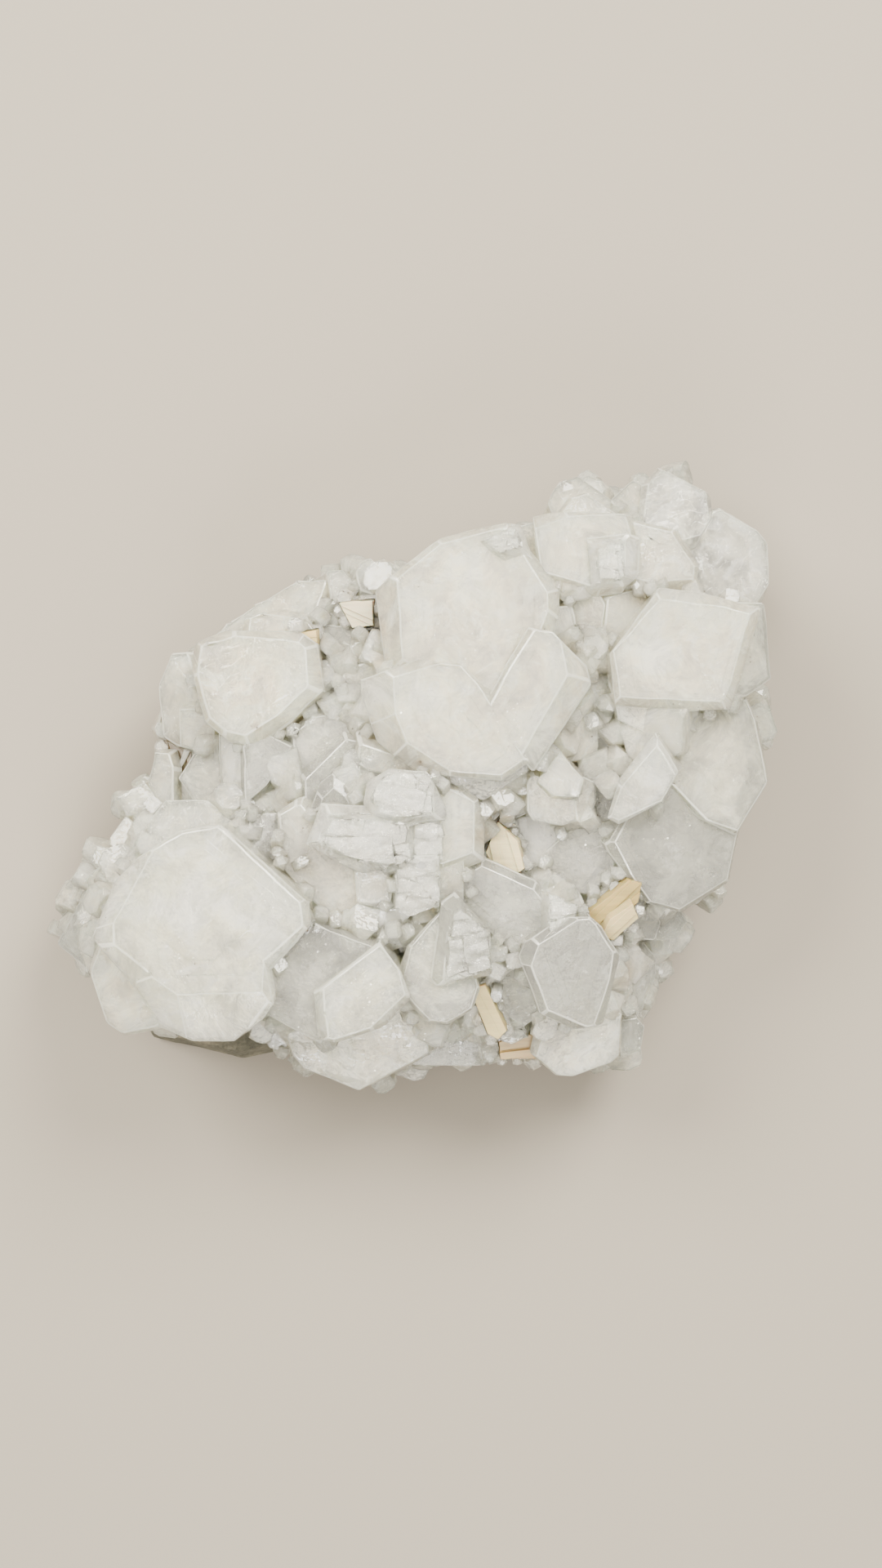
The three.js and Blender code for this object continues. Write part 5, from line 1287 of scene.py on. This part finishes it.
def with_flat_faces(obj):
    """Normals that keep the big faces flat and let the narrow edge flats catch the light."""
    modifier = obj.modifiers.new("faces", "WEIGHTED_NORMAL")
    modifier.keep_sharp = True
    modifier.weight = 85
    obj.data = bpy.data.meshes.new_from_object(obj.evaluated_get(bpy.context.evaluated_depsgraph_get()))
    obj.modifiers.clear()
    return obj


class CLUSTER_OT_crystals(bpy.types.Operator):
    """Grow the clear outer layer of the apophyllite crystals, with its steps, chips and small crystals"""
    bl_idname = "cluster.crystals"
    bl_label = "Apophyllite crystals"

    def execute(self, context):
        sizes = context.scene.cluster_crystals
        rng = random.Random(11)
        meshes, plain = [], []
        for i, (shape, body) in enumerate(zip(CRYSTALS, grown_bodies())):
            plain.append(body)
            least, most = sizes.edge_least / MM, sizes.edge_most / MM
            slots = {"top": FROSTED_FACE if shape.get("frosted") else TOP_FACE, "edge": EDGE_FACE}
            meshes.append(body_mesh(body.softened(least + (most - least) * (i * 0.618 % 1)), slots))
            top = np.ptp(np.reshape(shape["outline"], (-1, 2)), axis=0)
            if shape.get("frosted"):
                meshes += [body_mesh(layer, slots) for layer in terraces(body, rng)]
            elif top.min() > 7:
                for plate_body in growth_steps(body, sizes.step / MM, rng):
                    meshes.append(body_mesh(plate_body, slots))
        slots = {"top": TOP_FACE, "edge": EDGE_FACE}
        meshes += [body_mesh(body.softened(RIM_EDGE), slots) for body in rim_bodies()]
        meshes += [body_mesh(body, slot=SIDE_FACE) for body in bed_bodies()]
        grown = combined("grown", meshes)
        SMALL.clear()
        for grow, count in ((pocket_bodies, sizes.pocket_crystals), (pocket_bodies, sizes.gap_crystals),
                            (side_bodies, sizes.side_crystals)):
            young = grow(grown, count, rng)
            SMALL.extend(young)
            grown = combined("druse", [grown] + [body_mesh(body, slots) for body in young])
        cuts = [body_mesh(crystal_body(shape).moved(GAP), slots) for shape in ROCK + STILBITE]
        cuts += chip_meshes(plain, sizes.chips, rng)
        mesh = weathered(combined("apophyllite_faces", cuts, "DIFFERENCE", grown), FACE_EDGE,
                         {FROSTED_FACE: FROST_RELIEF}, EDGE_FACE)
        finishes = [top_material(sizes.clear), side_material(sizes.clear), edge_material(sizes.frost),
                    frosted_material(sizes.frost)]
        obj = with_flat_faces(new_object("apophyllite", mesh, finishes))
        owned(obj, "apophyllite_crystals")
        return {"FINISHED"}


class CLUSTER_OT_milk(bpy.types.Operator):
    """Fill the crystals with milk, each in its own tone"""
    bl_idname = "cluster.milk"
    bl_label = "Milky insides"

    def execute(self, context):
        sizes = context.scene.cluster_inside
        bodies = grown_bodies()
        for name, deep in (("milky_insides", True), ("wisps", False)):
            mesh = self.filled(bodies, deep)
            finishes = [milk_material(tone, getattr(sizes, tone), sizes.glow, None if deep else density)
                        for tone, (_, _, _, density) in TONES.items()]
            owned(new_object(name, mesh, finishes))
        return {"FINISHED"}

    def filled(self, bodies, deep):
        """The inside of every crystal: the dense milk, or the shell of wisps above it."""
        order, meshes = list(TONES), []
        for shape, body in zip(CRYSTALS, bodies):
            tone = shape.get("tone", "milk")
            depth = TONES[tone][0] if deep else WISP_DEPTH
            side = SIDE_CLEAR[TONES[tone][0] > 1] * depth
            core = body.moved({"top": -depth, "bevel": -0.75 * side, "prism": -side, "waist": -side,
                               "foot": -1})
            if len(core.corners()) > 3:
                core = core.softened(MILK_EDGE if deep else WISP_EDGE)
                meshes.append(body_mesh(core, slot=order.index(tone)))
        skin = MILK_SKIN if deep else WISP_SKIN
        for tone, bodies in (("thin", bed_bodies()), ("milk", rim_bodies())):
            meshes += [body_mesh(body.moved(-skin), slot=order.index(tone)) for body in bodies
                       if len(body.moved(-skin).corners()) > 3]
        for i, body in enumerate(SMALL):
            core = body.moved(-SMALL_MILK if deep else -SMALL_WISP)
            if len(core.corners()) > 3:
                meshes.append(body_mesh(core, slot=order.index(SMALL_TONES[i % len(SMALL_TONES)])))
        room = GAP + (BLADE_MILK_GAP if deep else BLADE_WISP_GAP)
        rooms = [body_mesh(crystal_body(shape).moved(room)) for shape in ROCK + STILBITE]
        left = combined("milk_left", rooms, "DIFFERENCE", combined("milk_grown", meshes))
        uneven = {at: MILK_RELIEF * TONES[tone][0] for at, tone in enumerate(order)
                  if TONES[tone][0] > DEEP_TONE}
        return weathered(left, MILK_MESH_EDGE, uneven if deep else None)


def surface_samples(mesh, count, seed, upright=0.2):
    """Points spread evenly over the faces that look up, with their normals."""
    mesh.calc_loop_triangles()
    triangles = mesh.loop_triangles
    corners = np.array([v.co for v in mesh.vertices])
    index = np.array([t.vertices for t in triangles])
    a, b, c = corners[index[:, 0]], corners[index[:, 1]], corners[index[:, 2]]
    cross = np.cross(b - a, c - a)
    area = np.linalg.norm(cross, axis=1)
    normal = cross / np.maximum(area, 1e-15)[:, None]
    weight = area * (normal[:, 2] > upright)
    rng = np.random.default_rng(seed)
    pick = rng.choice(len(area), count, p=weight / weight.sum())
    s, t = rng.random(count), rng.random(count)
    flip = s + t > 1
    s, t = np.where(flip, 1 - s, s), np.where(flip, 1 - t, t)
    points = a[pick] + (b - a)[pick] * s[:, None] + (c - a)[pick] * t[:, None]
    return points, normal[pick]


class CLUSTER_OT_inclusions(bpy.types.Operator):
    """Put cleavage flakes and healed cracks between the faces and the milk"""
    bl_idname = "cluster.inclusions"
    bl_label = "Flakes and veils"

    def execute(self, context):
        sizes = context.scene.cluster_inside
        rng = random.Random(5)
        points, normals = surface_samples(bpy.data.objects["apophyllite"].data, 5 * sizes.flakes, 3)
        solids = []
        for point, normal in zip(points, normals):
            if len(solids) == sizes.flakes:
                break
            if noise.noise(Vector(point) * 160) < 0.15 + 0.3 * rng.random():
                continue
            out = Vector(normal).lerp(Vector([rng.uniform(-1, 1) for _ in range(3)]), 0.2).normalized()
            across = out.orthogonal().normalized()
            size = rng.uniform(0.04, 0.15) * MM
            middle = Vector(point) - Vector(normal) * rng.uniform(0.1, 0.45) * MM
            solids.append(plate(middle, across, out.cross(across), out, (size, size * rng.uniform(0.3, 1)),
                                0.01 * MM))
        flakes = new_object("cleavage_flakes", soup_mesh("cleavage_flakes", solids), [flake_material()])
        owned(flakes)
        self.veils(sizes.veils, rng)
        return {"FINISHED"}

    def veils(self, count, rng):
        deep = [shape for shape in CRYSTALS if shape.get("tone", "milk") in ("cool", "grey")]
        solids, grid = [], 9
        while len(solids) < count:
            body = crystal_body(rng.choice(deep)).moved(-0.25)
            points = body.corners()
            if len(points) < 4:
                continue
            middle = points[np.abs(points @ body.normals[0] - body.distances[0]) < 1e-3].mean(axis=0)
            middle = middle + [rng.uniform(-2, 2), rng.uniform(-2, 2), -0.6]
            out = unit([rng.uniform(-1, 1), rng.uniform(-1, 1), rng.uniform(0.3, 1.2)])
            across = turned(out, rng.uniform(0, 6))
            over = np.cross(out, across)
            half = rng.uniform(1.2, 3.6)
            wave = rng.uniform(0, 9)
            sheet, thin = [], 0.012
            for side in (-thin, thin):
                for i in range(grid):
                    for j in range(grid):
                        u, v = 2 * i / (grid - 1) - 1, 2 * j / (grid - 1) - 1
                        sag = 0.35 * math.sin(2.1 * u + wave) * math.cos(1.7 * v + wave)
                        point = middle + across * (u * half) + over * (v * half * 0.7) + out * (sag + side)
                        excess = (body.normals @ point - body.distances).max()
                        if excess > 0:
                            face = int(np.argmax(body.normals @ point - body.distances))
                            point = point - body.normals[face] * (excess + 0.01)
                        sheet.append((point + SHIFT) * MM)
            solids.append((sheet, sheet_sides(grid)))
        owned(new_object("veils", soup_mesh("veils", solids), [veil_material()]))


def sheet_sides(n):
    """Quads of a closed thin sheet of two layers of n by n points."""
    sides, layer = [], n * n
    for i in range(n - 1):
        for j in range(n - 1):
            a = i * n + j
            sides.append((a, a + 1, a + n + 1, a + n))
            sides.append((layer + a, layer + a + n, layer + a + n + 1, layer + a + 1))
    border = [j for j in range(n - 1)] + [i * n + n - 1 for i in range(n - 1)]
    border += [n * n - 1 - j for j in range(n - 1)] + [(n - 1 - i) * n for i in range(n - 1)]
    for first, second in zip(border, border[1:] + border[:1]):
        sides.append((second, first, layer + first, layer + second))
    return sides


class CLUSTER_OT_blades(bpy.types.Operator):
    """Build each stilbite blade as a sheaf of thin laths"""
    bl_idname = "cluster.blades"
    bl_label = "Stilbite blades"

    def execute(self, context):
        sizes = context.scene.cluster_blades
        for count, blade in enumerate(STILBITE):
            rng = random.Random(40 + count)
            ring = drawn_ring(blade)
            middle = ring.mean(axis=0)
            _, directions = np.linalg.eigh(np.cov((ring - middle).T))
            short, long = directions[:, 0], directions[:, 1]
            spans = (ring - middle) @ short
            laths = max(3, round(np.ptp(spans) / (sizes.lath / MM)))
            cuts = np.linspace(spans.min(), spans.max(), laths + 1)
            cuts[[0, -1]] += [-LATH_OUT, LATH_OUT]
            base = crystal_body(blade)
            meshes = []
            for k in range(laths):
                fan = sizes.fan * (2 * k / (laths - 1) - 1)
                face = np.array([*(short * math.cos(fan) + long * math.sin(fan)), 0])
                centre = face[:2] @ middle
                steps = [-rng.uniform(0, 0.6) if kind == "top" else rng.uniform(0.1, 0.24)
                         for kind in base.kinds]
                ends = [centre + cuts[k + 1] + LATH_OVERLAP, -centre - cuts[k] + LATH_OVERLAP]
                body = base.moved(np.array(steps)).cut([face, -face], ends, "prism")
                if len(body.corners()) > 3:
                    meshes.append(body_mesh(body.softened(LATH_EDGE), slot=0))
            mesh = combined(blade["name"] + "_laths", meshes)
            color = tuple(BLADE_SHADE * (((blade["color"] >> shift) & 255) / 255) ** deepen
                          for shift, deepen in zip((16, 8, 0), BLADE_DEEPEN))
            turn = math.atan2(long[1], long[0])
            obj = new_object(blade["name"] + "_laths", mesh, [blade_material(blade["name"], color, turn)])
            owned(obj, blade["name"])
        return {"FINISHED"}


class CLUSTER_OT_rock(bpy.types.Operator):
    """Break the surface of the basalt slice, flat where it rests"""
    bl_idname = "cluster.rock"
    bl_label = "Basalt slice"

    def execute(self, context):
        sizes = context.scene.cluster_rock
        node = frame["nodes"]["basalt_matrix"]
        mesh = node.data.copy()
        mesh.transform(node.matrix_world)
        obj = new_object("basalt", mesh, [basalt_material(sizes.dark, sizes.tan)])
        remesh = obj.modifiers.new("remesh", "REMESH")
        remesh.mode = "VOXEL"
        remesh.voxel_size = sizes.grain
        rough = bpy.data.meshes.new_from_object(obj.evaluated_get(bpy.context.evaluated_depsgraph_get()))
        moved = []
        for vert in rough.vertices:
            co = vert.co
            broken = noise.fractal(co * 90, 1.0, 2.2, 5) * 0.55 + noise.noise(co * 420) * 0.25
            sunk, most = ROCK_UP if vert.normal.z > 0.5 else ROCK_SIDE
            new = co + vert.normal * min(sizes.relief * (broken * 0.5 - sunk), most * MM)
            if co.z < CUT_HEIGHT * MM:
                new.z = 0
            moved += [new.x, new.y, max(new.z, 0)]
        rough.vertices.foreach_set("co", moved)
        obj.modifiers.clear()
        obj.data = rough
        owned(obj, "basalt_matrix")
        return {"FINISHED"}


class CLUSTER_OT_dirt(bpy.types.Operator):
    """Drop dark grains on the faces and into the crevices"""
    bl_idname = "cluster.dirt"
    bl_label = "Dirt"

    def execute(self, context):
        rng = random.Random(23)
        surface = tree_of(bpy.data.objects["apophyllite"].data)
        solids = []

        def drop(x, y, size):
            hit, normal, _, _ = surface.ray_cast(Vector((x, y, ABOVE)), DOWN)
            if hit is not None and normal.z > 0.2:
                solids.append(grain(hit, size, rng))
            return hit

        for x, y, size in GRAINS:
            drop((x + SHIFT[0]) * MM, (y + SHIFT[1]) * MM, size * MM)
        low, high = CAD_BOX
        ring = [Vector((math.cos(a), math.sin(a), 0)) * DIRT_RING * MM for a in np.arange(6) * math.pi / 3]
        for _ in range(DIRT_TRIES):
            if len(solids) >= context.scene.cluster_rock.dirt:
                break
            x, y = rng.uniform(low[0], high[0]), rng.uniform(low[1], high[1])
            heights = [surface.ray_cast(Vector((x, y, ABOVE)) + step, DOWN)[0]
                       for step in [Vector((0, 0, 0))] + ring]
            if None in heights or np.mean([h.z for h in heights[1:]]) - heights[0].z < DIRT_DEPTH * MM:
                continue
            drop(x, y, rng.uniform(0.05, 0.16) * MM)
        owned(new_object("dirt", soup_mesh("dirt", solids), [dirt_material()]))
        return {"FINISHED"}


AIM = Vector((0, 0, 0.03))      # what the lights point at
LIGHTS = [      # name, place, width and colour. Their powers are among the settings.
    ("key", (-0.44, 0.38, 0.64), 0.45, (1.0, 0.945, 0.83)),
    ("fill", (0.337, 0.499, 0.7), 0.45, (1.0, 0.95, 0.84)),
    ("front", (0.04, 0.06, 0.95), 0.8, (1.0, 0.95, 0.84)),
    ("low", (0.05, -0.62, 0.62), 0.5, (1.0, 0.95, 0.84)),
    ("accent", (-0.11, -0.627, 0.703), 0.12, (1.0, 1.0, 1.0)),
]
SKY = (1.0, 0.95, 0.82, 1)
FLOOR_HALF = 3.0
CAMERA_PLACE = (0.0046, -0.0016, 0.399)
CAMERA_RANGE = (0.01, 10)


def area_light(name, place, size, power, color):
    data = bpy.data.lights.new(name, "AREA")
    data.shape = "DISK"
    data.size = size
    data.energy = power
    data.color = color
    obj = bpy.data.objects.new(name, data)
    obj.location = place
    obj.rotation_euler = (AIM - Vector(place)).to_track_quat("-Z", "Y").to_euler()
    bpy.context.scene.collection.objects.link(obj)


class CLUSTER_OT_stage(bpy.types.Operator):
    """Lay the floor, light it softly and set the camera above"""
    bl_idname = "cluster.stage"
    bl_label = "Stage"

    def execute(self, context):
        sizes = context.scene.cluster_stage
        mesh = bpy.data.meshes.new("floor")
        corners = ((-1, -1), (1, -1), (1, 1), (-1, 1))
        mesh.from_pydata([(x * FLOOR_HALF, y * FLOOR_HALF, 0) for x, y in corners], [], [(0, 1, 2, 3)])
        material, _, _ = new_material("floor_finish", Base_Color=(*sizes.floor, 1), Roughness=0.9)
        new_object("floor", mesh, [material])
        world = bpy.data.worlds.new("studio")
        world.use_nodes = True
        background = world.node_tree.nodes["Background"]
        background.inputs["Color"].default_value = SKY
        background.inputs["Strength"].default_value = sizes.sky
        context.scene.world = world
        for name, place, size, tint in LIGHTS:
            area_light(name, place, size, getattr(sizes, name), tint)
        data = bpy.data.cameras.new("camera")
        data.angle = sizes.view_angle
        data.clip_start, data.clip_end = CAMERA_RANGE
        camera = bpy.data.objects.new("camera", data)
        camera.location = CAMERA_PLACE
        context.scene.collection.objects.link(camera)
        context.scene.camera = camera
        return {"FINISHED"}


GROUPS = {"cluster_crystals": CrystalSettings, "cluster_inside": InsideSettings,
          "cluster_blades": BladeSettings, "cluster_rock": RockSettings, "cluster_stage": StageSettings}
STEPS = [CLUSTER_OT_crystals, CLUSTER_OT_milk, CLUSTER_OT_inclusions, CLUSTER_OT_blades, CLUSTER_OT_rock,
         CLUSTER_OT_dirt, CLUSTER_OT_stage]


class CLUSTER_PT_panel(bpy.types.Panel):
    bl_label = "Apophyllite cluster"
    bl_space_type = "VIEW_3D"
    bl_region_type = "UI"
    bl_category = "Cluster"

    def draw(self, context):
        for step in STEPS:
            self.layout.operator(step.bl_idname)
        for name, group in GROUPS.items():
            box = self.layout.box()
            for key in group.__annotations__:
                box.prop(getattr(context.scene, name), key)


def register():
    for item in [*GROUPS.values(), *STEPS, CLUSTER_PT_panel]:
        bpy.utils.register_class(item)
    for name, group in GROUPS.items():
        setattr(bpy.types.Scene, name, bpy.props.PointerProperty(type=group))


def unregister():
    for name in GROUPS:
        delattr(bpy.types.Scene, name)
    for item in [CLUSTER_PT_panel, *STEPS[::-1], *list(GROUPS.values())[::-1]]:
        bpy.utils.unregister_class(item)


def main():
    register()
    bpy.ops.cluster.crystals()
    bpy.ops.cluster.milk()
    bpy.ops.cluster.inclusions()
    bpy.ops.cluster.blades()
    bpy.ops.cluster.rock()
    bpy.ops.cluster.dirt()
    bpy.ops.cluster.stage()


if __name__ == "__main__":
    main()
